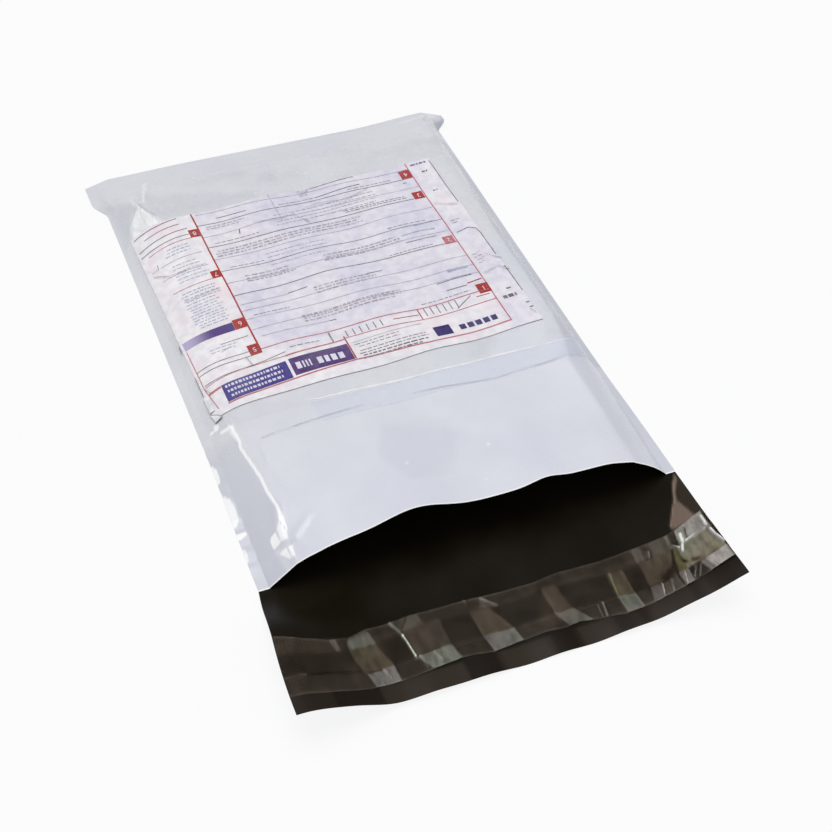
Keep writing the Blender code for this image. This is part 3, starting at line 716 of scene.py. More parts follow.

# Folds of the liner: strength, reach and path. Where the strength is positive they stand up and
# are painted bright as highlights; where it is negative they are painted darker as shade.
LINER_FOLDS = [
    (1.4, 0.0018, [(-0.0612, -0.1785), (-0.0568, -0.1875)]),
    (3.4, 0.0012, [(-0.0567, -0.1880), (-0.0557, -0.1920), (-0.0539, -0.2030)]),
    (0.8, 0.0014, [(-0.0520, -0.2030), (-0.0500, -0.2100)]),
    (1.0, 0.0012, [(-0.0440, -0.2030), (-0.0415, -0.2090)]),
    (0.9, 0.0012, [(-0.0720, -0.2050), (-0.0700, -0.2110)]),
    (0.5, 0.0012, [(-0.1300, -0.2040), (-0.1180, -0.2045)]),
    (1.0, 0.0013, [(-0.0105, -0.1795), (-0.0030, -0.1860)]),
    (0.9, 0.0010, [(-0.0195, -0.1760), (-0.0190, -0.1810)]),
    (1.6, 0.0010, [(0.0900, -0.1830), (0.0890, -0.1860)]),
    (1.5, 0.0012, [(0.0512, -0.2040), (0.0500, -0.2125)]),
    (0.8, 0.0010, [(0.0480, -0.2050), (0.0475, -0.2120)]),
    (2.0, 0.0010, [(0.0865, -0.2065), (0.0838, -0.2145)]),
    (0.9, 0.0010, [(0.0925, -0.2065), (0.0900, -0.2140)]),
    (1.4, 0.0012, [(0.1010, -0.2065), (0.0990, -0.2130)]),
    (1.5, 0.0010, [(0.1085, -0.2060), (0.1045, -0.2120)]),
    (1.3, 0.0010, [(0.1115, -0.2065), (0.1075, -0.2125)]),
    (3.2, 0.0016, [(0.1125, -0.1800), (0.1110, -0.1860), (0.1078, -0.1915)]),
    (2.4, 0.0012, [(0.1060, -0.1850), (0.1075, -0.1880)]),
    (1.6, 0.0014, [(0.1130, -0.1862), (0.1250, -0.1858)]),
    (2.4, 0.0014, [(0.1266, -0.1770), (0.1264, -0.1840)]),
    (2.6, 0.0013, [(0.1268, -0.1880), (0.1272, -0.1930), (0.1290, -0.2000)]),
    (0.9, 0.0014, [(0.0620, -0.1890), (0.0605, -0.2030)]),
    (-1.2, 0.0045, [(-0.0900, -0.1845), (-0.0800, -0.1795), (-0.0720, -0.1780)]),
    (-1.2, 0.0045, [(0.0590, -0.1790), (0.0715, -0.1785)]),
    (-1.6, 0.0035, [(0.1080, -0.1770), (0.1078, -0.1830)]),
    (-1.2, 0.0014, [(0.1165, -0.1775), (0.1145, -0.1850)]),
    (-0.9, 0.0016, [(0.0660, -0.1840), (0.0662, -0.1852)]),
    (-0.8, 0.0022, [(0.0880, -0.1775), (0.0890, -0.1800)]),
    (-1.0, 0.0045, [(0.0905, -0.2035), (0.0970, -0.2010)]),
    (-1.2, 0.0012, [(0.1035, -0.1880), (0.0975, -0.2000)]),
    (-1.4, 0.0022, [(0.1045, -0.1980), (0.1055, -0.2000)]),
    (-1.0, 0.0030, [(0.1100, -0.2010), (0.1130, -0.2020)]),
]

# Painted sheen of the flap's free edge: how light it is at each place across
EDGE_SHEEN = (
    [-0.130, -0.108, -0.106, -0.079, -0.077, -0.033, -0.031, -0.014, -0.012, 0.014, 0.018, 0.030,
     0.033, 0.050, 0.054, 0.060, 0.063, 0.068, 0.075, 0.097, 0.100, 0.107, 0.112, 0.130],
    [0.40, 0.40, 0.15, 0.20, 0.80, 0.75, 0.10, 0.15, 0.80, 0.75, 0.20, 0.15,
     0.75, 0.70, 0.25, 0.30, 0.60, 0.25, 0.65, 0.55, 0.20, 0.55, 0.30, 0.25],
)
# How much lighter the liner is painted along both its edges, over which run, and how high its patches and folds
# stand
LINER_EDGE_MILK = 0.03
LINER_EDGE_RUN = 0.04
LINER_BAND_HEIGHT = 0.0006
LINER_FOLD_HEIGHT = 0.0012


def liner_zone(zone, s):
    """The far and the near line of a zone at each place across."""
    lines = [
        np.interp(s, *LINER_FAR_EDGE) - LINER_BLUR / 2, np.interp(s, *GLUE_FAR_EDGE),
        np.interp(s, *GLUE_NEAR_EDGE), np.interp(s, *LINER_NEAR_EDGE) - LINER_BLUR,
    ]
    first = ("far", "glue", "near").index(zone)
    return lines[first], lines[first + 1]


def liner_patches(s, t):
    """Lift and painted reflection of the liner: 1 in a patch, 0 between two."""
    lit = np.zeros(np.shape(s))
    for zone, far_low, far_high, near_low, near_high, strength in LINER_PATCHES:
        start, end = liner_zone(zone, s)
        run = (start - t) / (start - end)
        within = step_up(s, mix(far_low, near_low, run), LINER_BLUR)
        within = within * step_up(-s, -mix(far_high, near_high, run), LINER_BLUR)
        within = within * step_up(-t, -start, LINER_BLUR) * step_up(t, end, LINER_BLUR)
        lit = np.maximum(lit, strength * within)
    return lit


def over_glue(s, t):
    start, end = liner_zone("glue", s)
    return step_up(t, end, LINER_BLUR) * step_up(-t, -start, LINER_BLUR)


def liner_folds(s, t):
    return sum(strength * fold(s, t, reach, path) for strength, reach, path in LINER_FOLDS)


def liner_wave(s, t):
    bands = LINER_BAND_HEIGHT * clamp(liner_patches(s, t))
    return bands + LINER_FOLD_HEIGHT * clamp(liner_folds(s, t))


# Print on the form, in millimetres from its left and its near edge. The form lies with its top
# towards the flap, so it is read from the far end. Words are left out: rows of short dashes stand
# for them.

RED_LINES = [
    (1.15, [(47.3, 37), (47.3, 173)]),
    (0.9, [(97.3, 10.5), (97.3, 31)]),
    (0.6, [(131, 33), (147, 32)]),
    (0.6, [(187, 33.5), (197, 33.5)]),
    (0.7, [(71, 143), (72.2, 148)]),
    (0.8, [(187, 46.5), (198, 48)]),
]
PINK_LINES = [
    (0.85, [(199.4, 6.5), (199.4, 173)]),
    (1.0, [(12, 5.0), (57, 7.2), (97, 9.6), (144, 6.4), (199.4, 6.9)]),
    (1.0, [(59, 26.2), (97.5, 28.6)]),
    (0.5, [(3, 24), (30, 26.5), (59, 26.2)]),
    (0.6, [(97, 29.5), (150, 27), (199.4, 28)]),
    (0.7, [(48, 37.5), (100, 38.5), (150, 37), (199.4, 37.5)]),
    (0.8, [(148, 27.5), (148, 37.2)]),
    (0.5, [(5, 5), (2, 24), (2, 58)]),
    (0.5, [(6, 148.5), (43, 149.5)]),
    (0.5, [(10, 107), (43, 107.5)]),
    (1.6, [(3, 18.0), (12, 19.0)]),
]
GREY_LINES = [
    (0.60, [(48, 136.5), (110, 136), (199, 137)]),
    (0.60, [(48, 86.5), (110, 88.7), (199, 87)]),
    (0.55, [(48, 159.5), (120, 159), (199, 158)]),
    (0.45, [(48, 111.5), (199, 111)]),
    (0.65, [(62, 164), (82, 163.6)]),
    (0.65, [(129, 161.5), (150, 163), (162, 163.5)]),
    (0.60, [(130, 171.5), (161, 172.2)]),
    (0.55, [(167, 96.6), (188, 96.6)]),
    (0.60, [(80, 79), (93, 80)]),
    (0.60, [(132, 78), (142, 78)]),
    (0.65, [(169, 53.5), (193, 53.5)]),
    (0.65, [(172, 45.6), (186, 45.2)]),
    (0.60, [(95, 47.2), (99, 47.2)]),
    (0.90, [(90, 28.5), (90, 37.5)]),
    (0.75, [(2, 170), (20, 170.3), (36, 171.8)]),
    (0.60, [(8, 164), (36, 165.5)]),
    (0.65, [(1.5, 157), (40, 159.5)]),
    (0.60, [(1.5, 152), (42, 153.5)]),
    (0.50, [(24, 51), (44, 51.5)]),
    (0.55, [(2, 38), (47, 38.6)]),
    (0.55, [(2, 34.3), (47, 34.7)]),
    (0.55, [(3, 25.5), (47, 27.5), (60, 29.5)]),
    (0.65, [(219.3, 28), (219.3, 54)]),
    (0.65, [(203, 95), (213, 96.5), (218, 93.5), (219.3, 88), (219.3, 66)]),
    (0.65, [(219.0, 122), (219.0, 170)]),
    (0.55, [(172, 29), (184, 36)]),
]
PALE_LINES = [
    (0.50, [(50, 171), (110, 169), (199, 167)]),
    (0.45, [(48, 64.5), (120, 63.5), (199, 62)]),
    (0.45, [(49, 77.5), (80, 78.5)]),
    (0.45, [(52, 47.8), (95, 47.4)]),
    (0.45, [(48, 99), (130, 100), (199, 99)]),
    (0.45, [(48, 124), (120, 123), (199, 125)]),
    (0.45, [(48, 147), (100, 149), (199, 148)]),
    (0.45, [(48, 72), (120, 73), (199, 72)]),
    (0.45, [(48, 55), (120, 56), (199, 54)]),
    (0.45, [(101, 174), (101, 146)]),
    (0.45, [(10, 134), (42, 134.5)]),
    (0.45, [(8, 122), (42, 121.5)]),
    (0.45, [(14, 96), (42, 97)]),
    (0.45, [(99, 24), (145, 24)]),
]
BLUE_LINES = [
    (1.00, [(167, 103.5), (180, 104.5), (190, 103.8)]),
    (1.00, [(178, 110), (192, 111.5)]),
    (1.60, [(180, 61), (194, 61)]),
    (0.60, [(22, 44.5), (30, 47)]),
]

# The comb of short uprights beside the header: first, last and pitch, and their two ends
COMBS = [(100, 124, 4.6, 30, 35.5), (152, 176, 4.2, 29.5, 36.5)]

# Plain fields: left, near, right and far side
RED_SQUARES = [
    (39.5, 149.2, 47.0, 157.0), (40.3, 107.0, 47.2, 114.2), (38.2, 59.0, 47.6, 67.4),
    (39.4, 34.6, 47.6, 43.4), (190.8, 158.4, 199.2, 166.6), (190.4, 136.0, 198.4, 143.4),
    (190.6, 35.2, 200.0, 43.6),
]
PINK_SQUARES = [(190.4, 86.4, 198.2, 93.8)]
# Corners of the two bars in the header
BLUE_BAR = [(12.3, 5.9), (57.3, 8.2), (57.3, 22.3), (12.3, 19.7)]
PURPLE_BAR = [(59.2, 9.2), (96.6, 10.4), (96.6, 24.5), (59.2, 22.9)]
LEFT_BAR = (1.6, 59.0, 38.0, 66.0)
NAVY_BLOCKS = [(150.0, 9.5, 160.5, 18.2)] + [
    (left, 11.2, left + 4.0, 15.6) for left in (166.0, 171.4, 176.8, 182.2, 187.6)
]
WHITE_BLOCKS = [
    (left, 13.4, left + width, 18.8)
    for left, width in ((62.0, 3.0), (66.2, 1.0), (68.3, 1.0), (70.4, 1.0), (75.5, 3.2),
                        (80.0, 2.6), (84.0, 3.2), (88.6, 3.2))
]

# Rows of dashes: left, right, near and far side, pitch of the rows, height of a dash, slope
SLATE_TEXT = [
    (16, 37, 139, 145, 2.8, 0.7, 0.0), (16, 41, 113, 132, 3.2, 0.6, 0.0),
    (13, 42, 92, 104, 2.6, 0.8, 0.0), (14, 40, 70, 90, 2.4, 0.7, 0.0),
    (14, 36, 46, 49, 2.6, 0.5, 0.0),
]
GREY_TEXT = [
    (100, 146, 8.5, 11, 2.3, 1.0, -0.02), (100, 146, 13, 17.5, 2.3, 0.6, 0.0),
    (100, 134, 19, 23, 2.4, 0.5, 0.0), (62, 88, 32, 33.5, 2.0, 0.6, 0.0),
    (152, 188, 89.4, 90.4, 2.0, 0.5, 0.0), (160, 188, 113.2, 114, 2.0, 0.5, 0.0),
    (140, 188, 139.2, 141.5, 1.8, 0.6, 0.0), (150, 188, 160.4, 161, 2.0, 0.5, 0.0),
    (150, 188, 40.0, 41.0, 2.0, 0.5, 0.0), (52, 84, 139.2, 140, 2.0, 0.5, 0.0),
    (52, 78, 113.6, 114, 2.0, 0.5, 0.0), (52, 76, 66.4, 67, 2.0, 0.5, 0.0),
    (104, 132, 161.5, 162, 2.0, 0.5, 0.0), (206, 213, 160, 161, 2.8, 1.4, 0.0), (206, 212, 140, 141, 2.8, 1.0, 0.0),
    (203, 219, 25.5, 26, 2.8, 2.8, 0.0), (208, 215, 33, 35, 2.2, 1.2, 0.0),
    (216, 220, 12, 17, 1.6, 1.0, 0.3),
]
VIOLET_TEXT = [(200, 219, 169.0, 170.5, 2.0, 1.7, 0.0), (187, 193, 154, 156, 2.6, 0.6, 0.0)]
PALE_TEXT = [
    (50, 152, 126, 132, 2.4, 1.2, 0.01), (60, 92, 97, 104, 2.6, 1.1, 0.02),
    (112, 166, 98, 104, 2.4, 1.2, 0.02), (96, 138, 72, 77, 2.4, 1.2, 0.0),
    (80, 146, 51, 58, 2.4, 1.2, 0.01), (50, 80, 154, 158, 2.2, 1.0, 0.0),
    (95, 170, 141, 152, 3.4, 0.7, 0.03), (78, 120, 108, 122, 3.6, 0.6, -0.03),
    (120, 130, 166, 171, 1.6, 0.9, 0.0), (204, 214, 104, 108, 2.4, 1.0, 0.0),
    (203, 214, 62, 72, 3.0, 0.8, 0.3),
]
WHITE_TEXT = [(13.5, 57, 8.4, 17.5, 4.0, 1.9, 0.055)]
DASH_LENGTHS = (1.2, 4.2)
WHITE_DASH_LENGTHS = (0.9, 2.4)
DASH_GAP = 0.9
# White digits on the squares, each with its middle
DIGITS = [
    ("1", 195.3, 39.4), ("2", 194.3, 90.1), ("3", 194.4, 139.7), ("4", 195.0, 162.5),
    ("5", 43.5, 39.0), ("6", 43.0, 63.2), ("7", 43.8, 110.6), ("8", 43.3, 153.1),
]
DIGIT_HEIGHT = 3.9


# Grids

def grid_lines(marks, cell_at):
    """Sorted lines through every mark, with cells no wider than cell_at says at their middle."""
    lines = []
    for mark in sorted(marks):
        if not lines:
            lines.append(mark)
            continue
        start = lines[-1]
        if mark - start < CLOSEST_LINES:
            continue
        count = math.ceil((mark - start) / cell_at((start + mark) / 2))
        for step in range(1, count + 1):
            lines.append(start + (mark - start) * step / count)
    return np.array(lines)


def even_lines(low, high, cell):
    return np.linspace(low, high, max(2, math.ceil((high - low) / cell) + 1))


def even_grid(left, near, right, far, cell):
    return np.meshgrid(even_lines(left, right, cell), even_lines(near, far, cell), indexing="ij")


def between(lines, low, high):
    return lines[(lines > low - CLOSEST_LINES) & (lines < high + CLOSEST_LINES)]


def ribbon(path, width, cell, taper=0.0):
    """Two rows of places beside a path, as a grid. It narrows to a point over taper at its ends."""
    path = np.array(path)
    lengths = np.hypot(*np.diff(path, axis=0).T)
    parts = [
        np.linspace(start, end, max(1, math.ceil(length / cell)), endpoint=False)
        for start, end, length in zip(path, path[1:], lengths)
    ]
    points = np.concatenate(parts + [path[-1:]])
    along = np.gradient(points, axis=0)
    along = along / np.hypot(*along.T)[:, None]
    run = np.concatenate([[0.0], np.cumsum(np.hypot(*np.diff(points, axis=0).T))])
    from_end = np.minimum(run, run[-1] - run)
    share = 0.15 + 0.85 * ease(from_end / taper) if taper else np.ones(len(run))
    aside = np.stack([-along[:, 1], along[:, 0]], -1) * (share * width / 2)[:, None]
    grid = np.stack([points - aside, points + aside], 1)
    return grid[..., 0], grid[..., 1]


def patch_grid(corners, cell):
    """Grid between four corners."""
    corners = np.array(corners)
    longest = max(np.hypot(*(corners - np.roll(corners, 1, axis=0)).T))
    share = np.linspace(0.0, 1.0, math.ceil(longest / cell) + 1)
    u, v = np.meshgrid(share, share, indexing="ij")
    u, v = u[..., None], v[..., None]
    grid = mix(mix(corners[0], corners[1], u), mix(corners[3], corners[2], u), v)
    return grid[..., 0], grid[..., 1]


# Mesh builders

def triangles(index):
    """Two triangles for each cell of a grid of vertex numbers; a cell without four is left out."""
    a, b, c, d = index[:-1, :-1], index[1:, :-1], index[1:, 1:], index[:-1, 1:]
    full = (a >= 0) & (b >= 0) & (c >= 0) & (d >= 0)
    first = np.stack([a, b, c], -1)[full]
    second = np.stack([a, c, d], -1)[full]
    return np.concatenate([first, second])


def rim(upper, lower):
    """Triangles that join two rows of vertex numbers."""
    return triangles(np.stack([upper, lower], 1))


def slab(s, t, under, thickness):
    """Vertices and triangles of an even layer. s and t give the places of its grid."""
    low = np.stack([lay_x(s, t), t, under(s, t)], -1).reshape(-1, 3)
    bottom = np.arange(s.size).reshape(s.shape)
    top = bottom + s.size
    faces = [triangles(bottom), triangles(top)]
    for edge in ((slice(None), 0), (slice(None), -1), (0, slice(None)), (-1, slice(None))):
        faces.append(rim(top[edge], bottom[edge]))
    return np.concatenate([low, low + (0.0, 0.0, thickness)]), np.concatenate(faces)


def flat_places(a, b):
    """The two flat coordinates of a grid as points, once for each side of a sheet."""
    one_side = np.stack([a, b, np.zeros(a.shape)], -1).reshape(-1, 3)
    return np.concatenate([one_side, one_side])


def new_piece(name, vertices, groups, materials, fields, replaced=None, smooth=True):
    """A closed mesh from groups of triangles, one group for each material."""
    faces = np.concatenate(groups)
    mesh = bpy.data.meshes.new(name)
    mesh.from_pydata(vertices.tolist(), [], faces.tolist())
    for material in materials:
        mesh.materials.append(material)
    numbers = np.repeat(np.arange(len(groups)), [len(group) for group in groups])
    mesh.polygons.foreach_set("material_index", numbers.astype(np.int32))
    mesh.polygons.foreach_set("use_smooth", np.full(len(faces), smooth))
    for field, values in fields.items():
        if values.ndim == 1:
            layer = mesh.attributes.new(field, "FLOAT", "POINT")
            layer.data.foreach_set("value", values.astype(np.float32))
        else:
            layer = mesh.attributes.new(field, "FLOAT_VECTOR", "POINT")
            layer.data.foreach_set("vector", values.astype(np.float32).ravel())
    bm = bmesh.new()
    bm.from_mesh(mesh)
    bmesh.ops.recalc_face_normals(bm, faces=bm.faces)
    bm.to_mesh(mesh)
    bm.free()
    mesh.set_sharp_from_angle(angle=math.radians(50))
    piece = bpy.data.objects.new(name, mesh)
    bpy.context.scene.collection.objects.link(piece)
    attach(piece, "root")
    if replaced:
        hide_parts(replaced)
    return piece


def pocket(name, node, across, along, weld_s, mouth_t, end_t, under, room, wall, materials,
           shades=None):
    """A film pocket in one piece: a back panel with a longer near end, and a front panel.

    The panels are one solid beyond weld_s at both sides and beyond end_t at the far end.
    materials are the outer and the inner one. shades are functions that give a field each.
    """
    tiny = CLOSEST_LINES / 2
    s, t = np.meshgrid(across, along, indexing="ij")
    x, base = lay_x(s, t), under(s, t)
    inside = (np.abs(s) < weld_s + tiny) & (t < end_t + tiny)
    apart = (np.abs(s) < weld_s - tiny) & (t < end_t - tiny) & (t > mouth_t - tiny)
    panel = t > mouth_t - tiny
    height = np.where(apart, room(s, t), 0.0)

    vertices, places = [], []

    def layer(z, used):
        index = np.full(s.shape, -1)
        index[used] = sum(len(part) for part in vertices) + np.arange(used.sum())
        vertices.append(np.stack([x[used], t[used], z[used]], -1))
        places.append(np.stack([s[used], t[used], np.zeros(used.sum())], -1))
        return index

    every = np.ones(s.shape, dtype=bool)
    back_out = layer(base, every)
    back_in = layer(base + wall, inside | (t < mouth_t + tiny))
    front_out = layer(base + 2 * wall + height, panel)
    front_in = layer(base + wall + height, apart)
    welded = inside & panel & ~apart
    front_in[welded] = back_in[welded]

    rows = np.flatnonzero(along > mouth_t - tiny)
    columns = np.flatnonzero(np.abs(across) < weld_s + tiny)
    mouth, left, right = rows[0], columns[0], columns[-1]
    space = (slice(left, right + 1), slice(mouth, None))
    back_space = triangles(np.where(inside, back_in, -1)[space])
    front_space = triangles(np.where(inside, front_in, -1)[space])
    seam = np.unique(back_in[welded])
    back_space = back_space[~np.isin(back_space, seam).all(1)]
    front_space = front_space[~np.isin(front_space, seam).all(1)]

    rim_in = np.where(front_in[:, mouth] >= 0, front_in[:, mouth], back_in[:, mouth])
    flap = slice(0, mouth + 1)
    outer = [
        triangles(back_out), triangles(front_out),
        rim(front_out[:, mouth], rim_in), rim(back_out[:, -1], front_out[:, -1]),
        rim(front_out[0, mouth:], back_out[0, mouth:]),
        rim(back_out[-1, mouth:], front_out[-1, mouth:]),
    ]
    inner = [triangles(back_in[:, flap]), back_space, front_space]
    if mouth > 0:
        inner += [
            rim(back_out[:, 0], back_in[:, 0]),
            rim(back_in[0, flap], back_out[0, flap]), rim(back_out[-1, flap], back_in[-1, flap]),
            np.array([[front_out[i, mouth], back_in[i, mouth], back_out[i, mouth]] for i in (0, -1)]),
        ]
    groups = [np.concatenate(outer), np.concatenate(inner)]
    place = np.concatenate(places)
    fields = {"place": place}
    for field, shade in (shades or {}).items():
        fields[field] = shade(place[:, 0], place[:, 1])
    return new_piece(name, np.concatenate(vertices), groups, materials, fields, replaced=node)


# Material helpers

class Surface:
    """A procedural material with one Principled shader."""

    def __init__(self, name):
        self.material = bpy.data.materials.new(name)
        self.material.use_nodes = True
        self.tree = self.material.node_tree
        self.shader = self.tree.nodes["Principled BSDF"]

    def set(self, **values):
        for socket, value in values.items():
            self.shader.inputs[socket.replace("_", " ")].default_value = value

    def node(self, kind, **values):
        made = self.tree.nodes.new(kind)
        for name, value in values.items():
            setattr(made, name, value)
        return made

    def link(self, output, socket):
        self.tree.links.new(output, socket)

    def drive(self, socket, output):
        self.link(output, self.shader.inputs[socket])

    def field(self, name, part="Fac"):
        return self.node("ShaderNodeAttribute", attribute_name=name).outputs[part]

    def place(self, axis):
        """One flat coordinate on the sheet."""
        split = self.node("ShaderNodeSeparateXYZ")
        self.link(self.field("place", "Vector"), split.inputs[0])
        return split.outputs[axis]

    def noise(self, scale, detail=2.0, stretch=(1.0, 1.0, 1.0)):
        """Value noise on the flat sheet; scale is in waves a metre."""
        mapping = self.node("ShaderNodeMapping")
        mapping.inputs["Scale"].default_value = stretch
        self.link(self.field("place", "Vector"), mapping.inputs["Vector"])
        noise = self.node("ShaderNodeTexNoise")
        noise.inputs["Scale"].default_value = scale
        noise.inputs["Detail"].default_value = detail
        self.link(mapping.outputs["Vector"], noise.inputs["Vector"])
        return noise.outputs["Fac"]

    def ramp(self, value, low, high, out_low=0.0, out_high=1.0):
        made = self.node("ShaderNodeMapRange", interpolation_type="SMOOTHSTEP")
        for socket, number in (
            ("From Min", low), ("From Max", high), ("To Min", out_low), ("To Max", out_high),
        ):
            made.inputs[socket].default_value = number
        self.link(value, made.inputs["Value"])
        return made.outputs["Result"]

    def blend(self, share, first, second):
        """Colour between two; each is a colour or another node's output."""
        made = self.node("ShaderNodeMix", data_type="RGBA")
        self.link(share, made.inputs[0])
        for number, colour in ((6, first), (7, second)):
            if isinstance(colour, tuple):
                made.inputs[number].default_value = (*colour, 1.0)
            else:
                self.link(colour, made.inputs[number])
        return made.outputs[2]

    def math(self, operation, first, second):
        made = self.node("ShaderNodeMath", operation=operation)
        for number, value in ((0, first), (1, second)):
            if isinstance(value, float):
                made.inputs[number].default_value = value
            else:
                self.link(value, made.inputs[number])
        return made.outputs[0]

    def bump(self, height, distance, strength=1.0, normal=None):
        made = self.node("ShaderNodeBump")
        made.inputs["Distance"].default_value = distance
        made.inputs["Strength"].default_value = strength
        self.link(height, made.inputs["Height"])
        if normal is not None:
            self.link(normal, made.inputs["Normal"])
        return made.outputs["Normal"]


def film_white():
    surface = Surface("film_white")
    surface.set(Metallic=0.0, IOR=1.5)
    tone = surface.ramp(surface.noise(16.0, 3.0), 0.35, 0.65)
    across = surface.math("MULTIPLY", surface.place("X"), 0.6)
    toward_near_right = surface.math("SUBTRACT", across, surface.place("Y"))
    bluish = surface.ramp(toward_near_right, -0.06, 0.08)
    film = surface.blend(bluish, surface.blend(tone, (0.650, 0.656, 0.702), (0.688, 0.692, 0.722)),
                         surface.blend(tone, (0.645, 0.662, 0.734), (0.685, 0.698, 0.756)))
    # Darker copy of the film colour, painted as shade where the film is turned away
    turned = surface.blend(tone, (0.498, 0.514, 0.584), (0.530, 0.542, 0.605))
    film = surface.blend(surface.field("painted_shade"), film, turned)
    # Painted highlight: nearly white on the film's folds, crushed places and mouth edge
    white = surface.ramp(surface.field("painted_highlight"), 0.12, 0.70)
    surface.drive("Base Color", surface.blend(white, film, (0.93, 0.93, 0.94)))
    surface.drive("Roughness", surface.ramp(surface.noise(60.0, 2.0), 0.3, 0.7, 0.24, 0.36))
    rumple = surface.bump(surface.noise(95.0, 3.0, (1.0, 0.6, 1.0)), 0.0006, 0.30)
    surface.drive("Normal", surface.bump(surface.noise(900.0, 1.0), 0.00005, 0.4, rumple))
    return surface.material


def film_black():
    """Black film, nearly dull above the liner, with painted sheen and painted highlights on the flap."""
    surface = Surface("film_black")
    surface.set(Metallic=0.0, IOR=1.5)
    tone = surface.ramp(surface.noise(22.0, 3.0), 0.35, 0.65)
    inner = surface.blend(tone, (0.0076, 0.0060, 0.0032), (0.0108, 0.0087, 0.0054))
    # Painted sheen along the free edge of the flap
    edge = surface.blend(surface.field("painted_edge_sheen"), (0.006, 0.003, 0.001), (0.036, 0.027, 0.020))
    film = surface.blend(surface.ramp(surface.place("Y"), -0.2145, -0.2120), edge, inner)
    # Painted highlight on the facet of the flap's right side, in brown
    surface.drive("Base Color", surface.blend(surface.field("painted_facet_light"), film, (0.230, 0.170, 0.135)))
    surface.drive("Roughness", surface.ramp(surface.noise(50.0, 2.0), 0.3, 0.7, 0.26, 0.40))
    level = surface.ramp(surface.place("Y"), -0.220, -0.205, 0.08, 0.035)
    surface.drive("Specular IOR Level", level)
    surface.drive("Normal", surface.bump(surface.noise(80.0, 3.0, (1.0, 0.5, 1.0)), 0.0006, 0.35))
    return surface.material


def pouch_clear():
    """Clear film: milky only in its rumples, and bluish on the lip beside the pouch's mouth."""
    surface = Surface("pouch_clear")
    surface.set(Roughness=0.16, IOR=1.5)
    lip = surface.math("MULTIPLY", surface.ramp(surface.place("Y"), -0.0275, -0.0295),
                       surface.ramp(surface.place("X"), -0.0600, -0.0540))
    tone = surface.ramp(surface.noise(20.0, 2.0), 0.3, 0.7)
    film = surface.blend(tone, (0.84, 0.86, 0.90), (0.93, 0.93, 0.95))
    surface.drive("Base Color", surface.blend(lip, film, (0.84, 0.88, 0.98)))
    haze_and_painted_light = surface.ramp(surface.noise(26.0, 4.0), 0.45, 0.75, 0.012, 0.055)
    surface.drive("Alpha", surface.math("ADD", haze_and_painted_light, surface.math("MULTIPLY", lip, 0.14)))
    surface.drive("Normal", surface.bump(surface.noise(130.0, 3.0, (1.0, 0.7, 1.0)), 0.0006, 0.5))
    return surface.material


def form_paper():
    """Paper: whitish in the left column and the header, lavender in the middle, mottled."""
    surface = Surface("form_paper")
    surface.set(Roughness=0.55, IOR=1.45)
    tone = surface.ramp(surface.noise(22.0, 3.0), 0.35, 0.65)
    fine = surface.ramp(surface.noise(170.0, 3.0), 0.35, 0.65)
    middle = surface.blend(
        fine, surface.blend(tone, (0.610, 0.590, 0.705), (0.700, 0.668, 0.740)),
        surface.blend(tone, (0.690, 0.672, 0.775), (0.785, 0.755, 0.800)),
    )
    edge = surface.blend(
        fine, surface.blend(tone, (0.725, 0.700, 0.745), (0.790, 0.750, 0.785)),
        surface.blend(tone, (0.820, 0.795, 0.825), (0.890, 0.855, 0.870)),
    )
    pink = surface.ramp(surface.noise(34.0, 3.0), 0.50, 0.72)
    edge = surface.blend(pink, edge, (0.810, 0.690, 0.720))
    aside = surface.ramp(surface.place("X"), 0.042, 0.056, 1.0, 0.0)
    header = surface.math("MULTIPLY", surface.ramp(surface.place("Y"), 0.026, 0.044, 0.8, 0.0),
                          surface.ramp(surface.place("X"), 0.194, 0.204, 1.0, 0.0))
    right = surface.ramp(surface.place("X"), 0.198, 0.202, 0.0, 0.35)
    pale = surface.math("MAXIMUM", surface.math("MAXIMUM", aside, header), right)
    surface.drive("Base Color", surface.blend(pale, middle, edge))
    rumple = surface.bump(surface.noise(55.0, 3.0), 0.0009, 0.35)
    surface.drive("Normal", surface.bump(surface.noise(160.0, 3.0), 0.0004, 0.4, rumple))
    return surface.material


def ink(name, first, second):
    surface = Surface(name)
    surface.set(Roughness=0.5, IOR=1.45, Specular_IOR_Level=0.15)
    tone = surface.ramp(surface.noise(240.0, 2.0), 0.3, 0.7)
    surface.drive("Base Color", surface.blend(tone, first, second))
    return surface.material


def fading_ink(name, pale, deep):
    """Ink that is pale at the form's left edge and deep further in."""
    surface = Surface(name)
    surface.set(Roughness=0.5, IOR=1.45, Specular_IOR_Level=0.15)
    surface.drive("Base Color", surface.blend(
        surface.ramp(surface.place("X"), 0.004, 0.024), pale, deep))
    return surface.material


def painted_glint_white(name, low, high):
    """Painted highlight: white for the light caught by crumpled or rolled clear film."""
    surface = Surface(name)
    surface.set(Roughness=0.3, IOR=1.5)
    tone = surface.ramp(surface.noise(120.0, 2.0), 0.3, 0.7)
    surface.drive("Base Color", surface.blend(tone, (0.86, 0.87, 0.90), (0.93, 0.94, 0.97)))
    surface.drive("Alpha", surface.ramp(surface.noise(140.0, 2.0), 0.3, 0.7, low, high))
    return surface.material


def painted_shade_line(name, low, high):
    """Painted shade: a thin dark line along a fold or an edge of clear film, see-through in places."""
    surface = Surface(name)
    surface.set(Roughness=0.4, IOR=1.45)
    tone = surface.ramp(surface.noise(90.0, 2.0), 0.3, 0.7)
    surface.drive("Base Color", surface.blend(tone, (0.26, 0.27, 0.31), (0.34, 0.35, 0.40)))
    surface.drive("Alpha", surface.ramp(surface.noise(60.0, 2.0), 0.3, 0.7, low, high))
    return surface.material


def adhesive_strip():
    surface = Surface("adhesive_strip")
    surface.set(Roughness=0.35, IOR=1.5, Specular_IOR_Level=0.05)
    tone = surface.ramp(surface.noise(60.0, 3.0), 0.35, 0.65)
    surface.drive("Base Color", surface.blend(tone, (0.011, 0.008, 0.004), (0.018, 0.014, 0.008)))
    surface.drive("Normal", surface.bump(surface.noise(200.0, 2.0), 0.0003, 0.4))
    return surface.material


